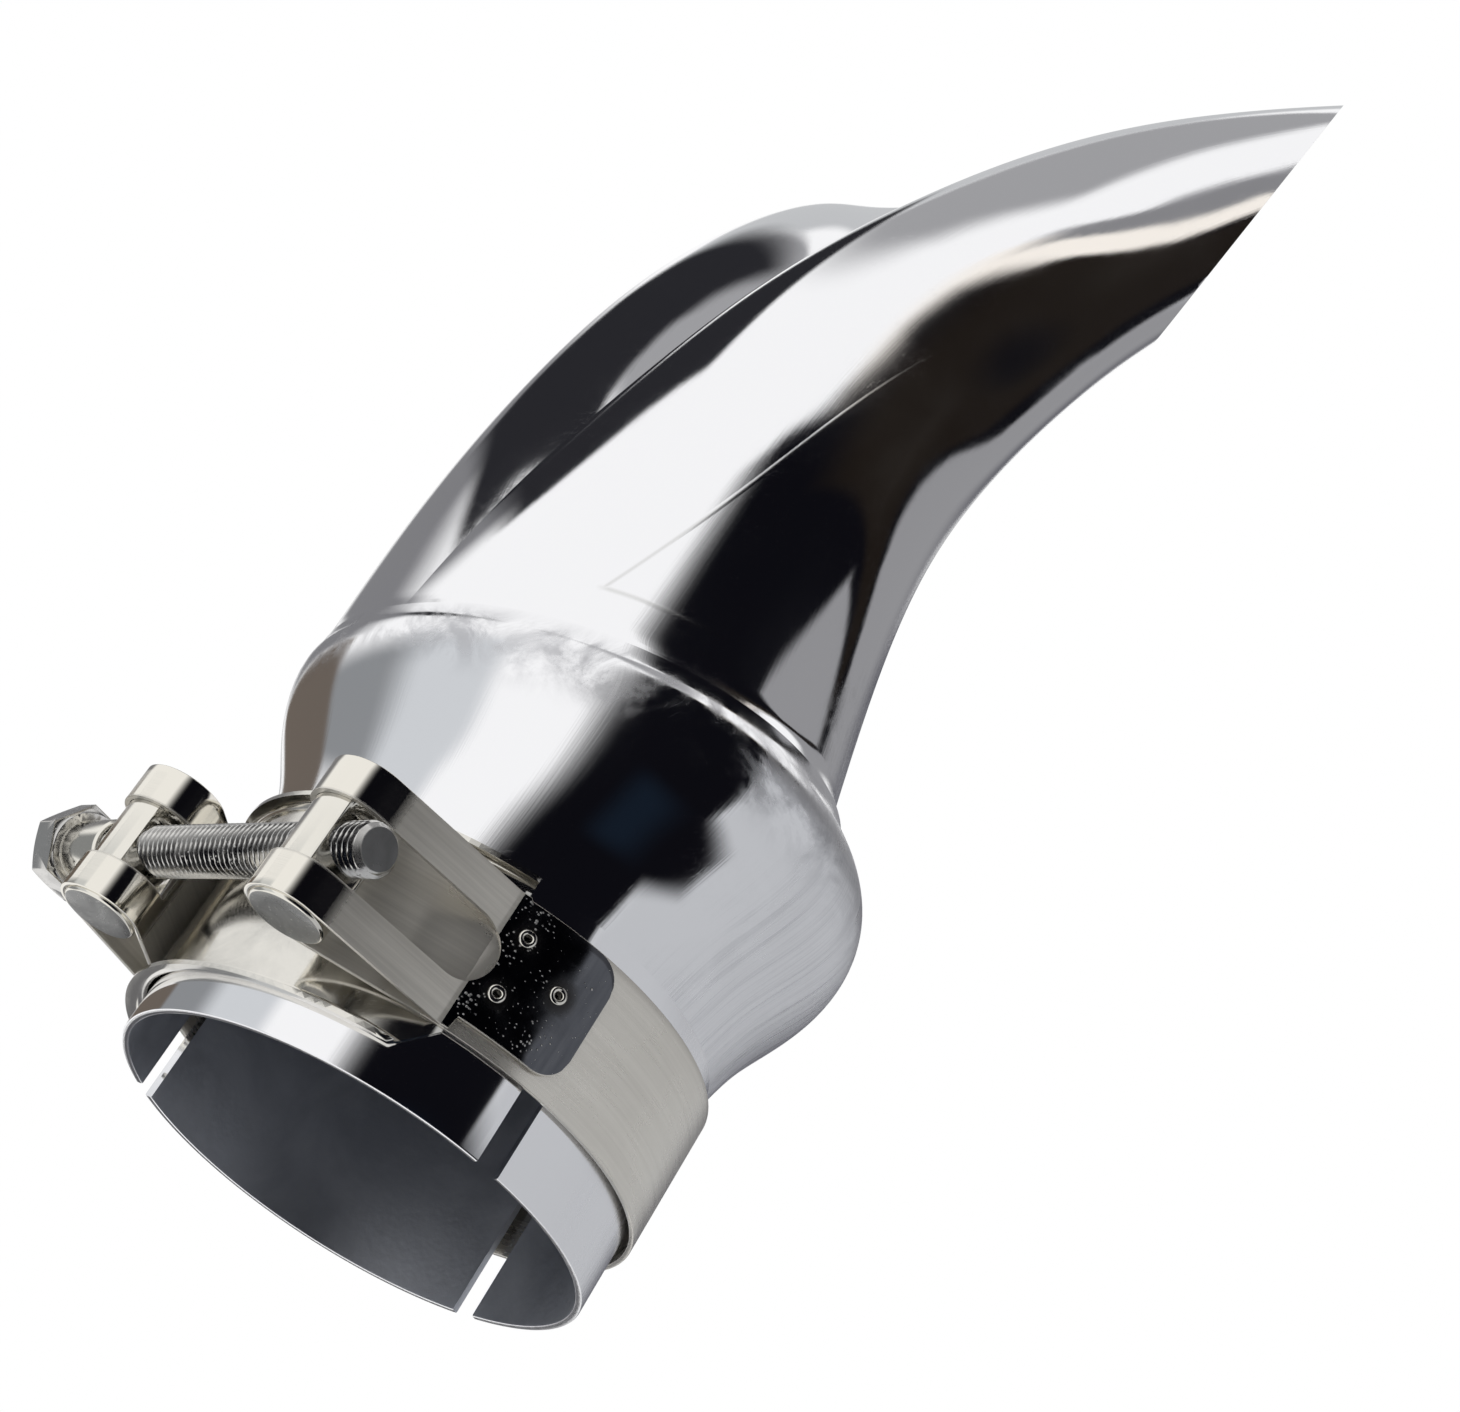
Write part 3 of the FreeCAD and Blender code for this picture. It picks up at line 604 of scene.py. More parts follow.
def trunnionBarrel(name, side, hole):
    c = trunnion
    half, top, edge = c["half"], c["length"] / 2, c["edge"]
    turns = [math.pi / 2 * k / 4 for k in range(4, -1, -1)]
    end = [(half - edge * (1 - math.sin(t)), top - edge * (1 - math.cos(t))) for t in turns]
    end += [(half * c["flat"], top), (0, top)]
    profile = [(r, -z) for r, z in end[::-1]] + end
    at = moved(-strap["reach"], side * strap["aside"], strap["rise"])
    obj = turned(profile, turn=at, name=name, sides=72)
    cut(obj, rodCutter(hole, c["through"], at @ Matrix.Rotation(math.pi / 2, 4, "X")))
    for face in obj.data.polygons:
        face.material_index = 1 if abs(face.normal.z) > 0.98 else 0
    return obj


# Bolt: head and washer face from the solid, with a cut thread below it
bolt = {
    "radius": 4.0,
    "length": 75.0,
    "under": 39.7,
    "pitch": 1.25,
    "depth": 0.62,
    "tip": 1.0,
    "flank": (0.07, 0.42),
    "perTurn": 10,
    "around": 40,
    "overlap": 0.02,
}


def eased(node, angle=35, width=0.0):
    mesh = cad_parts[node].data.copy()
    bm = bmesh.new()
    bm.from_mesh(mesh)
    bpy.data.meshes.remove(mesh)
    bmesh.ops.remove_doubles(bm, verts=bm.verts[:], dist=2e-6)
    if width:
        flat = math.radians(0.5)
        bmesh.ops.dissolve_limit(bm, angle_limit=flat, verts=bm.verts[:], edges=bm.edges[:])
    words = node.split("_")
    obj = fromBmesh(words[0] + "".join(w.capitalize() for w in words[1:]), bm, angle)
    if width:
        mod = obj.modifiers.new("edges", "BEVEL")
        mod.width = width * mm
        mod.segments = 2
        mod.limit_method = "ANGLE"
        mod.angle_limit = math.radians(angle)
        evaluated(obj)
        shadeSmooth(obj.data, angle)
    return obj


work = {}  # holds the node tree that is being built


def link(start, end):
    work["tree"].links.new(start, end)


def nodeIn(kind, inputs=None, **settings):
    made = work["tree"].nodes.new(kind)
    for key, setting in settings.items():
        setattr(made, key, setting)
    for key, given in (inputs or {}).items():
        if isinstance(given, bpy.types.NodeSocket):
            link(given, made.inputs[key])
        else:
            made.inputs[key].default_value = given
    return made


def firstOut(kind, inputs=None, **settings):
    return nodeIn(kind, inputs, **settings).outputs[0]


def mathIn(operation, *given):
    return firstOut("ShaderNodeMath", dict(enumerate(given)), operation=operation)


def total(*given):
    return reduce(partial(mathIn, "ADD"), given)


def times(*given):
    return reduce(partial(mathIn, "MULTIPLY"), given)


def apart(first, second):
    return mathIn("ABSOLUTE", mathIn("SUBTRACT", first, second))


def axesOf(vector):
    return nodeIn("ShaderNodeSeparateXYZ", {0: vector}).outputs


def vectorOf(**axes):
    return firstOut("ShaderNodeCombineXYZ", axes)


def addSocket(name, kind, way="INPUT"):
    return work["tree"].interface.new_socket(name, in_out=way, socket_type="NodeSocket" + kind)


def geometryTree(name, sizes):
    work["tree"] = bpy.data.node_groups.new(name, "GeometryNodeTree")
    addSocket("Geometry", "Geometry")
    for size, amount in sizes.items():
        addSocket(size, "Int" if isinstance(amount, int) else "Float").default_value = amount
    addSocket("Finish", "Material")
    addSocket("Geometry", "Geometry", "OUTPUT")
    return nodeIn("NodeGroupInput").outputs


def finishTree(given, shape):
    real = firstOut("GeometryNodeRealizeInstances", {"Geometry": shape})
    dressed = firstOut("GeometryNodeSetMaterial", {"Geometry": real, "Material": given["Finish"]})
    link(dressed, nodeIn("NodeGroupOutput").inputs[0])
    return work["tree"]


def grown(name, base, tree, sizes, finish):
    # a piece that a node tree makes, turned into a plain mesh
    obj = newObject(name, base)
    mod = obj.modifiers.new(name, "NODES")
    mod.node_group = tree
    names = {item.name: item.identifier for item in tree.interface.items_tree if item.in_out == "INPUT"}
    for size, amount in {**sizes, "Finish": finish}.items():
        mod[names[size]] = amount
    return evaluated(obj)


def threadTree(sizes):
    # a grid of length and turn wound into a cylinder whose radius follows the thread
    given = geometryTree("cutThread", sizes)
    size = {"Size X": given["Length"], "Size Y": math.tau}
    count = {"Vertices X": given["Rows"], "Vertices Y": given["Around"]}
    grid = firstOut("GeometryNodeMeshGrid", {**size, **count})
    place = axesOf(firstOut("GeometryNodeInputPosition"))
    along = total(place["X"], times(given["Length"], 0.5))
    turn = total(place["Y"], math.pi)
    run, lead = mathIn("DIVIDE", along, given["Pitch"]), mathIn("DIVIDE", turn, math.tau)
    wave = mathIn("PINGPONG", mathIn("SUBTRACT", run, lead), 0.5)
    radius = mathIn("SUBTRACT", given["Radius"], times(ramp(wave, *bolt["flank"]), given["Depth"]))
    small = mathIn("SUBTRACT", given["Radius"], given["Tip"])
    radius = mathIn("MINIMUM", radius, total(small, along))
    across = times(radius, mathIn("COSINE", turn))
    upwards = times(radius, mathIn("SINE", turn))
    wound = {"Geometry": grid, "Position": vectorOf(X=across, Y=along, Z=upwards)}
    rod = firstOut("GeometryNodeSetPosition", wound)
    rod = firstOut("GeometryNodeSetShadeSmooth", {"Geometry": rod})
    disc = {"Vertices": given["Around"], "Radius": small}
    end = firstOut("GeometryNodeMeshCircle", disc, fill_type="NGON")
    end = firstOut("GeometryNodeTransform", {"Geometry": end, "Rotation": (math.pi / 2, 0, 0)})
    both = nodeIn("GeometryNodeJoinGeometry")
    link(rod, both.inputs[0])
    link(end, both.inputs[0])
    merged = {"Geometry": both.outputs[0], "Distance": 1e-6}
    return finishTree(given, firstOut("GeometryNodeMergeByDistance", merged))


def clampBolt(finish):
    c = bolt
    head = eased("clamp_bolt", 20)
    bm = bmesh.new()
    bm.from_mesh(head.data)
    cutAt = Vector((0, (c["under"] - c["overlap"]) * mm, 0))
    plane = {"plane_co": cutAt, "plane_no": (0, -1, 0), "clear_outer": True}
    bmesh.ops.bisect_plane(bm, geom=bm.verts[:] + bm.edges[:] + bm.faces[:], dist=1e-7, **plane)
    rows = round(c["length"] / c["pitch"] * c["perTurn"])
    sizes = {name.capitalize(): c[name] * mm for name in ("length", "radius", "pitch", "depth", "tip")}
    sizes.update({"Rows": rows, "Around": c["around"] + 1})
    thread = grown("thread", bpy.data.meshes.new("thread"), threadTree(sizes), sizes, finish)
    thread.data.transform(moved(-strap["reach"], c["under"] - c["length"], strap["rise"]))
    bm.from_mesh(thread.data)
    bpy.data.objects.remove(head)
    bpy.data.objects.remove(thread)
    made = fromBmesh("clampBolt", bm, 20)
    made.modifiers.new("flats", "WEIGHTED_NORMAL").keep_sharp = True
    return evaluated(made)


# Eyelets: one rolled ring at each place that the solids give
eyelet = {"bore": 0.55, "roll": 0.42, "height": 0.38, "around": 32, "rollAround": 14}


def eyeletTree(sizes):
    given = geometryTree("rolledEyelets", sizes)
    circle = "GeometryNodeCurvePrimitiveCircle"
    path = firstOut(circle, {"Resolution": given["Around"], "Radius": given["Ring"]})
    rolled = firstOut(circle, {"Resolution": eyelet["rollAround"], "Radius": given["Roll"]})
    ring = firstOut("GeometryNodeCurveToMesh", {"Curve": path, "Profile Curve": rolled})
    squat = {"Geometry": ring, "Scale": vectorOf(X=1.0, Y=1.0, Z=given["Height"])}
    ring = firstOut("GeometryNodeTransform", squat)
    ring = firstOut("GeometryNodeSetShadeSmooth", {"Geometry": ring})
    spot = firstOut("GeometryNodeInputPosition")
    outward = firstOut("ShaderNodeVectorMath", {0: spot, 1: (1, 1, 0)}, operation="MULTIPLY")
    facing = firstOut("FunctionNodeAlignRotationToVector", {"Vector": outward}, axis="Z")
    rings = {"Points": given["Geometry"], "Instance": ring, "Rotation": facing}
    return finishTree(given, firstOut("GeometryNodeInstanceOnPoints", rings))


def clampEyelets(finish):
    c = eyelet
    spots = []
    for spot in eyeletSpots:
        out = Vector((spot.x, spot.y, 0)).normalized() * (foldOut * mm)
        spots.append((out.x, out.y, spot.z))
    base = bpy.data.meshes.new("eyeletSpots")
    base.from_pydata(spots, [], [])
    sizes = {"Ring": (c["bore"] + c["roll"]) * mm, "Roll": c["roll"] * mm}
    sizes.update({"Height": c["height"] / c["roll"], "Around": c["around"]})
    return grown("clampEyelets", base, eyeletTree(sizes), sizes, finish)


# Finishes: effects that several of them use are groups
def effect(name, inputs, output, build):
    tree = work["tree"] = bpy.data.node_groups.new(name, "ShaderNodeTree")
    addSocket("Vector", "Vector")
    for label, start in inputs.items():
        addSocket(label, "Float").default_value = start
    addSocket(output, "Float", "OUTPUT")
    link(build(nodeIn("NodeGroupInput").outputs), nodeIn("NodeGroupOutput").inputs[0])
    return tree


def stretched(vector, across, along):
    scale = vectorOf(X=along, Y=across, Z=across)
    return firstOut("ShaderNodeVectorMath", {0: vector, 1: scale}, operation="MULTIPLY")


def noiseIn(vector, scale, detail=2.0, rough=0.5, bend=0.0):
    given = {"Vector": vector, "Scale": scale, "Detail": detail, "Roughness": rough, "Distortion": bend}
    return firstOut("ShaderNodeTexNoise", given)


def ramp(value, low, high, soft=False):
    # zero at low and one at high, also when high is the smaller
    given = {"Value": value, "From Min": low, "From Max": high}
    kind = "SMOOTHSTEP" if soft else "LINEAR"
    return firstOut("ShaderNodeMapRange", given, interpolation_type=kind)


def brushedLines(given):
    # long fine lines along the vector's X
    near = stretched(given["Vector"], given["Across"], given["Along"])
    fine = times(noiseIn(near, 1.0, 6.0, 0.62), 0.6)
    wide = times(noiseIn(near, 0.23, 3.0), 0.4)
    centred = mathIn("SUBTRACT", total(fine, wide), 0.5)
    return times(centred, given["Strength"])


def smudges(given):
    # soft blotches of wiped and dull metal
    blot = noiseIn(given["Vector"], given["Size"], 5.0, 0.58, 0.6)
    return times(ramp(blot, 0.42, 0.72), given["Strength"])


def specks(given):
    # small pits and grains, more of them in some places than in others
    spread = {"Vector": given["Vector"], "Scale": given["Size"]}
    cells = nodeIn("ShaderNodeTexVoronoi", spread).outputs["Distance"]
    patches = noiseIn(given["Vector"], times(given["Size"], 0.12), 2.0)
    reach = times(mathIn("POWER", patches, 3.0), given["Amount"])
    return ramp(cells, reach, times(reach, 0.5))


def fineScratches(given):
    # hairlines in two slanting directions, each only here and there
    marks = []
    for turn, part in ((0.5, 0.0), (-0.8, 7.0)):
        aim = {"Vector": given["Vector"], "Rotation": (0.3 + part, turn, turn * 2)}
        spun = firstOut("ShaderNodeMapping", aim)
        thin = noiseIn(stretched(spun, given["Size"], 11.0), 1.0, 2.0, 0.4)
        line = ramp(apart(thin, 0.5), 0.006, 0.0)
        some = ramp(noiseIn(spun, 60.0, 2.0), 0.52, 0.62)
        marks.append(times(line, some))
    return times(mathIn("MAXIMUM", *marks), given["Strength"])


effects = {row[0]: effect(*row) for row in (
    ("brushedLines", {"Across": 900.0, "Along": 20.0, "Strength": 1.0}, "Lines", brushedLines),
    ("smudges", {"Size": 30.0, "Strength": 0.1}, "Dull", smudges),
    ("specks", {"Size": 600.0, "Amount": 0.8}, "Mask", specks),
    ("fineScratches", {"Size": 900.0, "Strength": 0.1}, "Mark", fineScratches),
)}


def use(name, vector, **inputs):
    given = {"Vector": vector, **inputs}
    return firstOut("ShaderNodeGroup", given, node_tree=effects[name])


def mapOf():
    return firstOut("ShaderNodeUVMap")


def markOf(name):
    return nodeIn("ShaderNodeAttribute", attribute_name=name).outputs["Fac"]


def newMaterial(name):
    mat = bpy.data.materials.new(name)
    mat.use_nodes = True
    work["tree"] = mat.node_tree
    return mat


def metal(name, color, metallic, look):
    # look builds the node sockets that vary: Roughness, Base Color, and the height of the bump
    mat = newMaterial(name)
    bsdf = mat.node_tree.nodes["Principled BSDF"].inputs
    bsdf["Base Color"].default_value = (*color, 1)
    bsdf["Metallic"].default_value = metallic
    for socket, given in look(nodeIn("ShaderNodeTexCoord").outputs["Object"]).items():
        if socket == "bump":
            height, distance = given
            bump = {"Height": height, "Distance": distance}
            socket, given = "Normal", firstOut("ShaderNodeBump", bump)
        link(given, bsdf[socket])
    return mat


def mixColor(share, *sides):
    first, second = ((*side, 1) if isinstance(side, tuple) else side for side in sides)
    return nodeIn("ShaderNodeMix", {0: share, 6: first, 7: second}, data_type="RGBA").outputs[2]


def polish(spots):
    # what the tube and the shell share: wiped and scratched, and not quite even
    dull = use("smudges", spots, Size=26.0, Strength=0.05)
    marks = use("fineScratches", spots, Size=1100.0, Strength=0.12)
    return total(dull, marks, 0.045), noiseIn(spots, 34.0, 1.5, 0.4)


polishBump = 0.00025
tubeMarks = {"satinFrom": (-0.004, 0.012), "satinBump": 0.36, "plainBump": 0.02}


def polishedLook(spots):
    # polished tube: faint lines along it, and brushed towards the slotted side
    c = tubeMarks
    x, y, z = axesOf(spots)
    along = vectorOf(X=z, Y=x, Z=y)
    lines = use("brushedLines", along, Across=1100.0, Along=25.0)
    rough, swell = polish(spots)
    satin = ramp(x, *c["satinFrom"], soft=True)
    bump = total(times(satin, c["satinBump"]), c["plainBump"])
    rough = total(rough, times(satin, total(times(lines, 0.25), 0.18)))
    return {"Roughness": rough, "bump": (total(swell, times(lines, bump)), polishBump)}


# Places of the shell's marks: metres from the crease along the shell, and shares of a turn round it
shellMarks = {
    "satinFrom": (-0.006, 0.012),  # the side towards the slots is brushed, not polished
    "satinTop": (0.122, 0.092),
    "satinRagged": 0.022,
    "shoulderLow": (-0.019, -0.011),
    "shoulderTop": (0.0005, -0.003),
    "seamStart": 0.594,  # the lengthwise weld of a horn at its root
    "seamLean": 1.45,
    "seamHalf": 0.0024,
    "seamFrom": (0.008, 0.0095),
    "seamTo": (0.085, 0.045),
    "collar": 0.0088,  # the short weld round the horn's root
    "collarHalf": 0.0007,
    "collarFrom": (0.602, 0.61),
    "collarTo": (0.69, 0.66),
}


def shellLook(spots):
    c = shellMarks
    share, along, _ = axesOf(mapOf())
    x, y, z = axesOf(spots)
    blots = noiseIn(spots, 95.0, 5.0, 0.65, 0.8)
    # the map's share is folded in two so that the lines meet where the map closes
    flat = vectorOf(X=apart(share, 0.5), Y=along)
    lines = use("brushedLines", flat, Across=60.0, Along=900.0)

    # brushed side, with a ragged edge
    ragged = total(x, times(mathIn("SUBTRACT", blots, 0.5), c["satinRagged"]))
    satin = ramp(ragged, *c["satinFrom"], soft=True)
    satin = times(satin, ramp(z, *c["satinTop"], soft=True))

    # blotches on the shoulder, just below the crease
    shoulder = ramp(along, *c["shoulderLow"], soft=True)
    shoulder = times(shoulder, ramp(along, *c["shoulderTop"]), ramp(blots, 0.40, 0.62))

    # welds: one along the horn and a short one round its root
    seamAt = total(times(along, c["seamLean"]), c["seamStart"])
    seam = ramp(apart(share, seamAt), c["seamHalf"], 0.0, soft=True)
    seam = times(seam, ramp(along, *c["seamFrom"]), ramp(along, *c["seamTo"]))
    collar = ramp(apart(along, c["collar"]), c["collarHalf"], 0.0, soft=True)
    ends = times(ramp(share, *c["collarFrom"]), ramp(share, *c["collarTo"]))
    weld = mathIn("MAXIMUM", seam, times(collar, ends))

    rough, swell = polish(spots)
    brushed = times(satin, total(times(lines, 0.3), 0.24))
    rough = total(rough, brushed, times(shoulder, 0.34), times(weld, 0.1))
    brushed = times(lines, total(times(satin, 0.5), 0.036))
    height = total(swell, brushed, times(weld, 0.07))
    tone = mixColor(shoulder, (0.90, 0.90, 0.915), (0.62, 0.62, 0.64))
    streaks = times(satin, ramp(lines, 0.03, -0.13))
    tone = mixColor(streaks, tone, (0.74, 0.74, 0.76))
    tone = mixColor(weld, tone, (0.74, 0.74, 0.74))
    return {"Base Color": tone, "Roughness": rough, "bump": (height, polishBump)}


def satinLook(spots):
    lines = use("brushedLines", spots, Across=1500.0, Along=40.0, Strength=0.25)
    dull = use("smudges", spots, Size=40.0, Strength=0.12)
    return {"Roughness": total(lines, dull, 0.30), "bump": (lines, 0.0001)}


def insideLook(spots):
    dull = use("smudges", spots, Size=55.0, Strength=0.2)
    grain = noiseIn(spots, 700.0, 4.0)
    tone = mixColor(times(dull, 5.0), (0.50, 0.52, 0.57), (0.66, 0.68, 0.73))
    return {"Base Color": tone, "Roughness": total(dull, 0.42), "bump": (grain, 0.00005)}


def strapLook(spots):
    # the rubbed loops are nearly polished, and the legs show the rolled strip's lines
    rubbed = markOf("polish")
    lines = use("brushedLines", mapOf(), Across=1400.0, Along=30.0, Strength=0.30)
    dull = use("smudges", spots, Size=60.0, Strength=0.14)
    plain = mathIn("SUBTRACT", 1.0, rubbed)
    rough = total(times(total(lines, dull, 0.26), plain), 0.075)
    sheen = mathIn("SUBTRACT", 1.0, times(plain, 0.27))
    grain = total(times(lines, 7.0), 0.5)
    tone = mixColor(grain, (0.50, 0.48, 0.44), (0.78, 0.755, 0.70))
    tone = mixColor(rubbed, tone, (0.82, 0.79, 0.72))
    return {"Base Color": tone, "Metallic": sheen, "Roughness": rough, "bump": (lines, 0.00004)}


def pressedLook(spots):
    # the bridge under the bolt, bright with rub marks
    dull = use("smudges", spots, Size=70.0, Strength=0.16)
    marks = use("fineScratches", spots, Size=1600.0, Strength=0.2)
    lines = use("brushedLines", spots, Across=1200.0, Along=60.0, Strength=0.10)
    tone = mixColor(times(dull, 4.0), (0.76, 0.74, 0.69), (0.50, 0.49, 0.46))
    return {"Base Color": tone, "Roughness": total(dull, marks, lines, 0.10), "bump": (lines, 0.00005)}


def foldLook(spots):
    # the folded end's dark, streaked tone is a painted dark reflection on plain strip steel; the grains and
    # the worn ring round each eyelet are marks on the metal
    grains = use("specks", spots, Size=1500.0, Amount=1.25)
    halo = markOf("halo")
    dull = use("smudges", spots, Size=130.0, Strength=0.16)
    streaks = use("brushedLines", mapOf(), Across=90.0, Along=900.0)
    streaks = total(times(streaks, 2.0), 0.35)
    # painted dark reflection, streaked along the strip
    plain = mixColor(streaks, (0.10, 0.105, 0.12), (0.19, 0.195, 0.21))
    tone = mixColor(times(halo, 0.75), plain, (0.07, 0.066, 0.062))
    tone = mixColor(grains, tone, (0.78, 0.77, 0.74))
    rough = total(dull, times(halo, 0.2), times(grains, 0.3), 0.09)
    return {"Base Color": tone, "Roughness": rough, "bump": (grains, 0.00005)}


def turnedLook(spots):
    lines = use("brushedLines", spots, Across=900.0, Along=900.0, Strength=0.12)
    dull = use("smudges", spots, Size=90.0, Strength=0.12)
    tone = mixColor(dull, (0.80, 0.775, 0.71), (0.66, 0.64, 0.59))
    return {"Base Color": tone, "Roughness": total(lines, dull, 0.10), "bump": (lines, 0.00005)}


def facedLook(spots):
    # the barrels' ends, dull from sawing and flecked near their edges
    dull = use("smudges", spots, Size=160.0, Strength=0.2)
    grains = use("specks", spots, Size=1300.0, Amount=0.9)
    tone = mixColor(times(dull, 4.0), (0.24, 0.24, 0.235), (0.15, 0.15, 0.15))
    tone = mixColor(times(grains, 0.7), tone, (0.55, 0.54, 0.52))
    return {"Base Color": tone, "Roughness": total(dull, 0.24), "bump": (grains, 0.00003)}


def threadLook(spots):
    # the end of the bolt is as sawn, so it is matt
    dull = use("smudges", spots, Size=220.0, Strength=0.3)
    grains = use("specks", spots, Size=1500.0, Amount=0.9)
    along = axesOf(spots)["Y"]
    end = (bolt["under"] - bolt["length"]) * mm
    sawn = ramp(along, end + 0.15 * mm, end + 0.05 * mm)
    rough = total(times(dull, 0.6), times(sawn, 0.35), 0.16)
    worn = total(dull, times(grains, 0.4))
    tone = mixColor(worn, (0.68, 0.67, 0.65), (0.34, 0.335, 0.33))
    tone = mixColor(sawn, tone, (0.30, 0.30, 0.30))
    return {"Base Color": tone, "Roughness": rough, "bump": (grains, 0.00003)}


finishes = {row[0]: metal(*row) for row in (
    ("polishedSteel", (0.90, 0.90, 0.915), 1.0, polishedLook),
    ("shellSteel", (0.90, 0.90, 0.915), 1.0, shellLook),
    ("hornBore", (0.62, 0.62, 0.63), 1.0, satinLook),
    ("dullInside", (0.50, 0.52, 0.57), 0.35, insideLook),
    ("stripSteel", (0.62, 0.60, 0.56), 1.0, strapLook),
    ("pressedSteel", (0.76, 0.74, 0.69), 1.0, pressedLook),
    # the folded end's dark colour is a painted dark reflection
    ("foldedEndPaintedDark", (0.13, 0.135, 0.15), 1.0, foldLook),
    ("turnedSteel", (0.80, 0.775, 0.71), 1.0, turnedLook),
    ("facedSteel", (0.24, 0.24, 0.235), 1.0, facedLook),
    ("threadSteel", (0.66, 0.65, 0.64), 1.0, threadLook),
)}


def dress(piece, names):
    for k, name in enumerate(names):
        if k < len(piece.data.materials):
            piece.data.materials[k] = finishes[name]
        else:
            piece.data.materials.append(finishes[name])


strapPiece = clampStrap()
bridgePiece = eased("bridge_plate")
rivetPiece = eased("bridge_rivet")
threadedBarrel = trunnionBarrel("threadedTrunnion", -1, trunnion["tapped"])
plainBarrel = trunnionBarrel("plainTrunnion", 1, trunnion["clear"])
spacerPiece = eased("bolt_spacer", 35, 0.08)
boltPiece = clampBolt(finishes["threadSteel"])
eyeletPiece = clampEyelets(finishes["turnedSteel"])
pieces = (
    (sleevePiece, "tip", "polished_tube", ["inlet_sleeve"], ["polishedSteel", "dullInside"]),
    (bulbPiece, "tip", "polished_shell", ["collector_bulb"], ["shellSteel", "dullInside"]),
    (rightHorn, "tip", "polished_shell", ["horn_right"], ["shellSteel", "hornBore"]),
    (leftHorn, "tip", "polished_shell", ["horn_left"], ["shellSteel", "hornBore"]),
    (strapPiece, "clamp", "strap_steel", ["clamp_strap"], ["stripSteel", "foldedEndPaintedDark"]),
    (bridgePiece, "clamp", "strap_steel", ["bridge_plate"], ["pressedSteel"]),
    (rivetPiece, "clamp", "hardware", ["bridge_rivet"], ["turnedSteel"]),
    (threadedBarrel, "clamp", "hardware", ["threaded_trunnion"], ["turnedSteel", "facedSteel"]),
    (plainBarrel, "clamp", "hardware", ["plain_trunnion"], ["turnedSteel", "facedSteel"]),
    (eyeletPiece, "clamp", "hardware", eyeletNodes, ["turnedSteel"]),
    (spacerPiece, "spacer", "hardware", ["bolt_spacer"], ["turnedSteel"]),
    (boltPiece, "bolt", "bolt_steel", ["clamp_bolt"], ["threadSteel"]),
)
for piece, body, slot, replaced, names in pieces:
    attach(piece, body)
    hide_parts(*replaced)
    dress(piece, names)
print("clamp built")


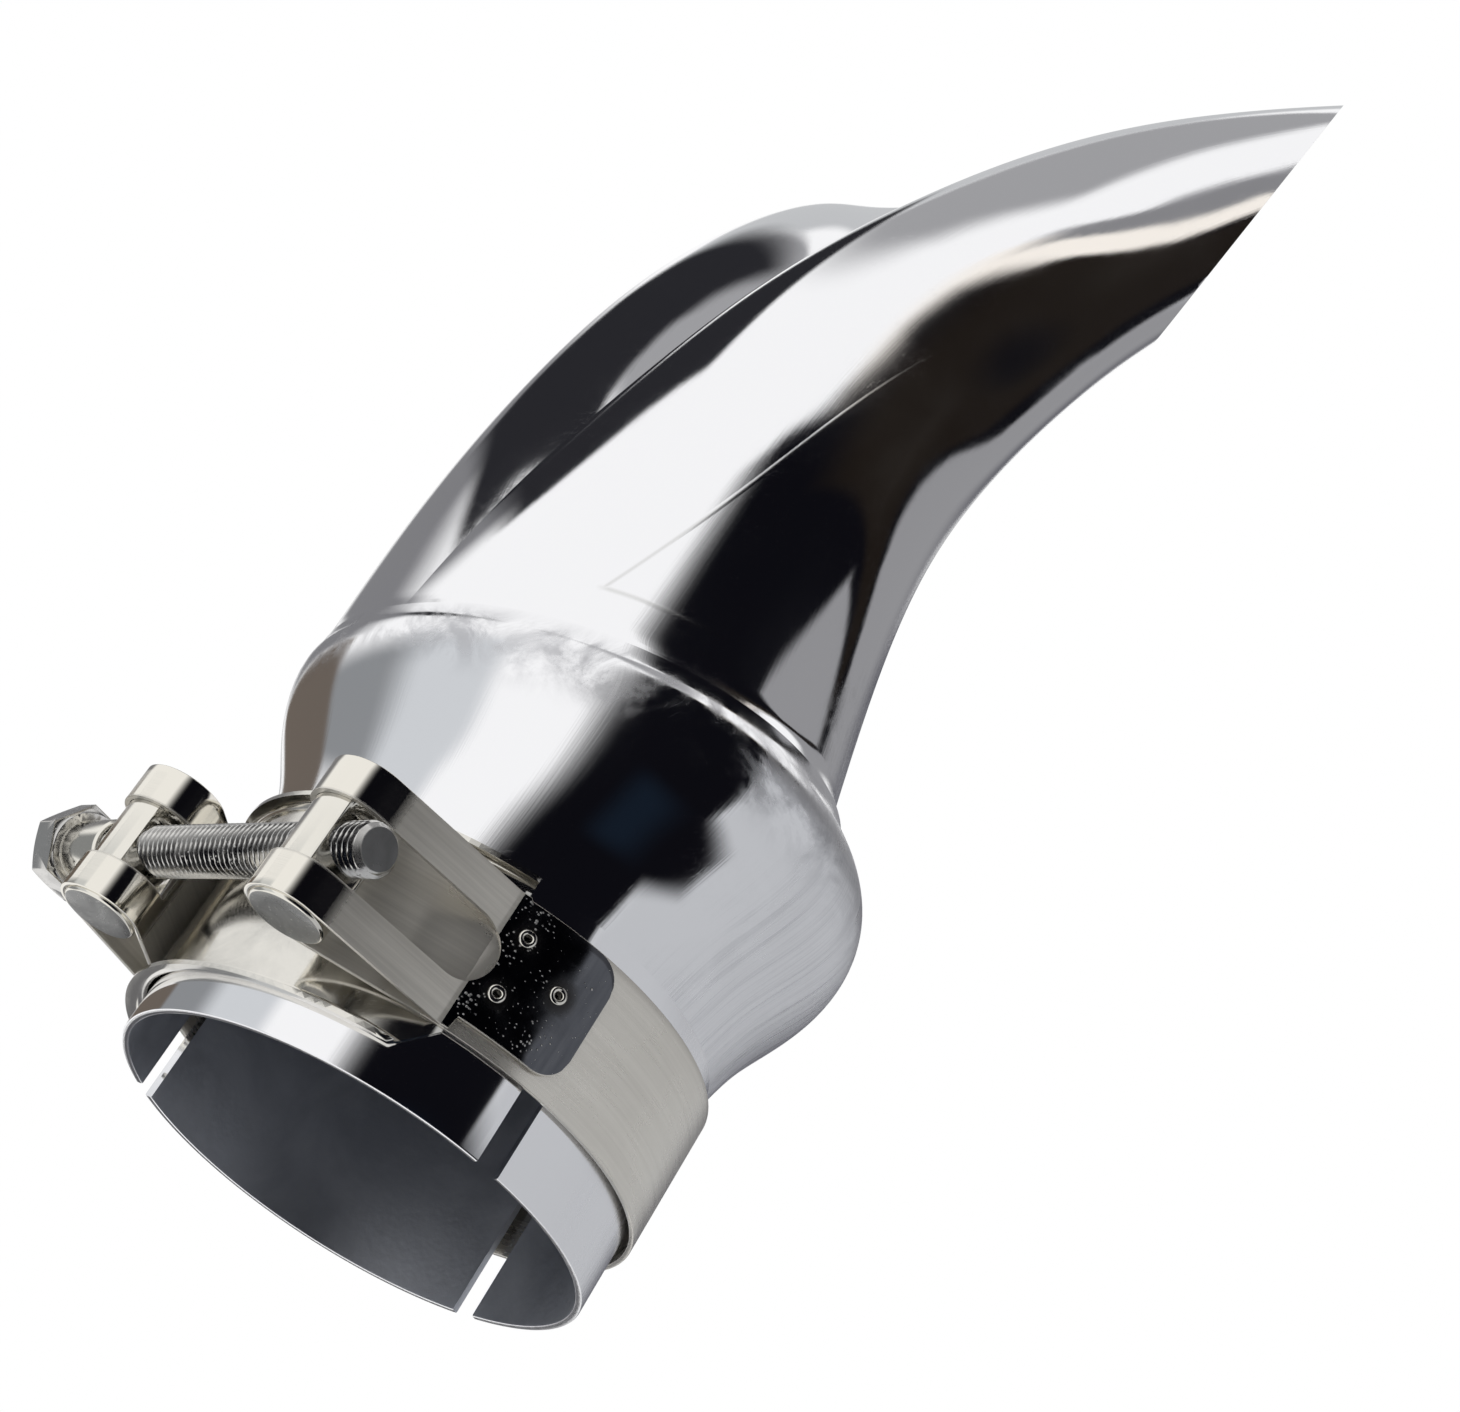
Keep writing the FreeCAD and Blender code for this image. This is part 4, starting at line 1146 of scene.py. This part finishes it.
# Studio: white surround, a pale floor, and flags and sheets that only the steel's reflections see
# A wall card stands at one y with corners in x and z, and a level card lies at one z with corners in x and y.
# A dome card covers degrees of turn and rise round the tip. Soft is the share over which each edge fades.
black = (0.004, 0.004, 0.006)
studio = {
    "surround": 1.0,
    "floor": (0.86, 0.86, 0.87),
    "floorSize": 14.0,
    "domeRise": 120,
}
cards = {
    "blackFlag": dict(
        wall=-120, corners=((-250, -250), (-8, -250), (-8, 216), (-250, 268)),
        color=black, soft=(0.50, 0.02, 0.05, 0.03)),
    "lowFlag": dict(
        wall=-119.5, corners=((-100, -250), (30, -250), (30, -10), (-100, 60)),
        color=black, soft=(0.1, 0.08, 0.1, 0.1)),
    "blueFlag": dict(
        wall=-118.8, corners=((-98, -62), (-20, -62), (-10, -2), (-88, -8)),
        color=(0.007, 0.012, 0.021), soft=(0.45, 0.45, 0.45, 0.45)),
    "midFlag": dict(
        wall=-120.5, corners=((-14, 110), (65, 208), (65, 238), (-14, 210)),
        color=black, soft=(0.02, 0.02, 0.15, 0.1)),
    "bandFlag": dict(
        wall=-121, corners=((40, 176), (140, 198), (140, 262), (40, 235)),
        color=black, soft=(0.02, 0.02, 0.08, 0.1)),
    "farBandFlag": dict(
        wall=-121.5, corners=((130, 196), (420, 316), (420, 350), (130, 255)),
        color=black, soft=(0.02, 0.1, 0.08, 0.1)),
    "brownSheet": dict(
        wall=-119, corners=((-70, 175), (200, 205), (200, 250), (-70, 208)),
        color=(0.013, 0.010, 0.008), soft=(0.2, 0.2, 0.25, 0.05)),
    "streakSheet": dict(
        wall=-121, corners=((-70, 231), (60, 231), (60, 245), (-70, 248)),
        color=(0.25, 0.25, 0.26), soft=(0.3, 0.1, 0.15, 0.15)),
    "creamSheet": dict(
        wall=-122, corners=((-105, 212), (60, 205), (60, 231), (-105, 250)),
        color=(1.0, 0.94, 0.86), soft=(0.3, 0.1, 0.1, 0.1)),
    "rearFlag": dict(
        level=230, corners=((-140, 46), (-13, 6), (-30, 230), (-160, 200)),
        color=(0.022, 0.022, 0.026), soft=(0.08, 0.12, 0.05, 0.15)),
    "greySheet": dict(
        turn=(-98, 40), rise=(18, 60), distance=900,
        color=(0.30, 0.30, 0.31), soft=(0.05, 0.1, 0.1, 0.1)),
    "lightSheet": dict(
        turn=(-100, 40), rise=(-80, 36), distance=1200,
        color=(0.55, 0.56, 0.58), soft=(0.1, 0.1, 0.1, 0.1)),
    "topSheet": dict(
        turn=(40, 110), rise=(44, 76), distance=960,
        color=(0.56, 0.57, 0.58), soft=(0.2, 0.2, 0.1, 0.2)),
    "edgeSheet": dict(
        turn=(8, 76), rise=(-25, 38), distance=800,
        color=(0.10, 0.10, 0.12), soft=(0.35, 0.15, 0.3, 0.1)),
    "lowSheet": dict(
        turn=(44, 70), rise=(-42, -17), distance=700,
        color=(0.17, 0.17, 0.18), soft=(0.1, 0.1, 0.1, 0.1)),
    "ceiling": dict(
        turn=(95, 238), rise=(48, 88), distance=1000,
        color=(0.37, 0.37, 0.38), soft=(0.1, 0.1, 0.2, 0.05)),
    "warmSheet": dict(
        turn=(76, 116), rise=(-10, 16), distance=900,
        color=(0.15, 0.125, 0.105), soft=(0.1, 0.1, 0.1, 0.1)),
    "rimSheet": dict(
        turn=(72, 124), rise=(14, 42), distance=940,
        color=(0.22, 0.22, 0.23), soft=(0.2, 0.35, 0.1, 0.3)),
    "leftSheet": dict(
        turn=(108, 150), rise=(-45, 14), distance=950,
        color=(0.27, 0.28, 0.29), soft=(0.1, 0.35, 0.1, 0.2)),
    "paleSheet": dict(
        turn=(135, 178), rise=(-50, 18), distance=1000,
        color=(0.66, 0.68, 0.70), soft=(0.1, 0.2, 0.1, 0.2)),
}


def cardMaterial(name, color, soft):
    mat = newMaterial(name)
    mat.node_tree.nodes.clear()
    u, v, _ = axesOf(mapOf())
    left, right, low, high = soft
    fades = ((u, 0, left), (u, 1, 1 - right), (v, 0, low), (v, 1, 1 - high))
    mask = times(*[ramp(axis, edge, full, soft=True) for axis, edge, full in fades])
    glow = firstOut("ShaderNodeEmission", {"Color": (*color, 1)})
    clear = firstOut("ShaderNodeBsdfTransparent")
    mix = firstOut("ShaderNodeMixShader", {0: mask, 1: clear, 2: glow})
    nodeIn("ShaderNodeOutputMaterial", {"Surface": mix})
    return mat


def domePoint(c, u, v):
    turn = math.radians(c["turn"][0] + (c["turn"][1] - c["turn"][0]) * u)
    rise = math.radians(c["rise"][0] + (c["rise"][1] - c["rise"][0]) * v)
    out = Vector((math.cos(turn) * math.cos(rise), math.sin(turn) * math.cos(rise), math.sin(rise)))
    return out * c["distance"] + Vector((0, 0, studio["domeRise"]))


def cardPoint(c, u, v):
    if "turn" in c:
        return domePoint(c, u, v)
    lowStart, lowEnd, highEnd, highStart = map(Vector, c["corners"])
    first, second = lowStart.lerp(lowEnd, u).lerp(highStart.lerp(highEnd, u), v)
    return Vector((first, c["wall"], second)) if "wall" in c else Vector((first, second, c["level"]))


def addCard(name, c, steps=16):
    wide = steps + 1
    shares = [(i / steps, j / steps) for j in range(wide) for i in range(wide)]
    corners = [j * wide + i for j in range(steps) for i in range(steps)]
    faces = [(k, k + 1, k + 1 + wide, k + wide) for k in corners]
    card = addMesh(name, [cardPoint(c, u, v) * mm for u, v in shares], faces)
    layer = card.data.uv_layers.new(name="UVMap")
    for loop, spot in zip(card.data.loops, layer.data):
        spot.uv = shares[loop.vertex_index]
    card.data.materials.append(cardMaterial(name, c["color"], c["soft"]))
    card.visible_camera = card.visible_diffuse = card.visible_shadow = card.visible_transmission = False


def addFloor(size, color):
    half = size / 2
    corners = [(-half, -half, 0), (half, -half, 0), (half, half, 0), (-half, half, 0)]
    floor = addMesh("floor", corners, [(0, 1, 2, 3)])
    mat = newMaterial("paleFloor")
    made = mat.node_tree.nodes
    bsdf = made["Principled BSDF"]
    bsdf.inputs["Base Color"].default_value = (*color, 1)
    bsdf.inputs["Roughness"].default_value = 0.9
    # seen from below, the floor is clear, because the photograph looks up into the sleeve
    side = nodeIn("ShaderNodeNewGeometry").outputs["Backfacing"]
    clear = firstOut("ShaderNodeBsdfTransparent")
    mix = firstOut("ShaderNodeMixShader", {0: side, 1: bsdf.outputs[0], 2: clear})
    link(mix, made["Material Output"].inputs["Surface"])
    floor.data.materials.append(mat)
    floor.visible_glossy = False


world = bpy.data.worlds.new("studio")
scene.world = world
world.use_nodes = True
background = world.node_tree.nodes["Background"].inputs
background["Color"].default_value = (1, 1, 1, 1)
background["Strength"].default_value = studio["surround"]
addFloor(studio["floorSize"], studio["floor"])
for name, card in cards.items():
    addCard(name, card)
print("studio set")
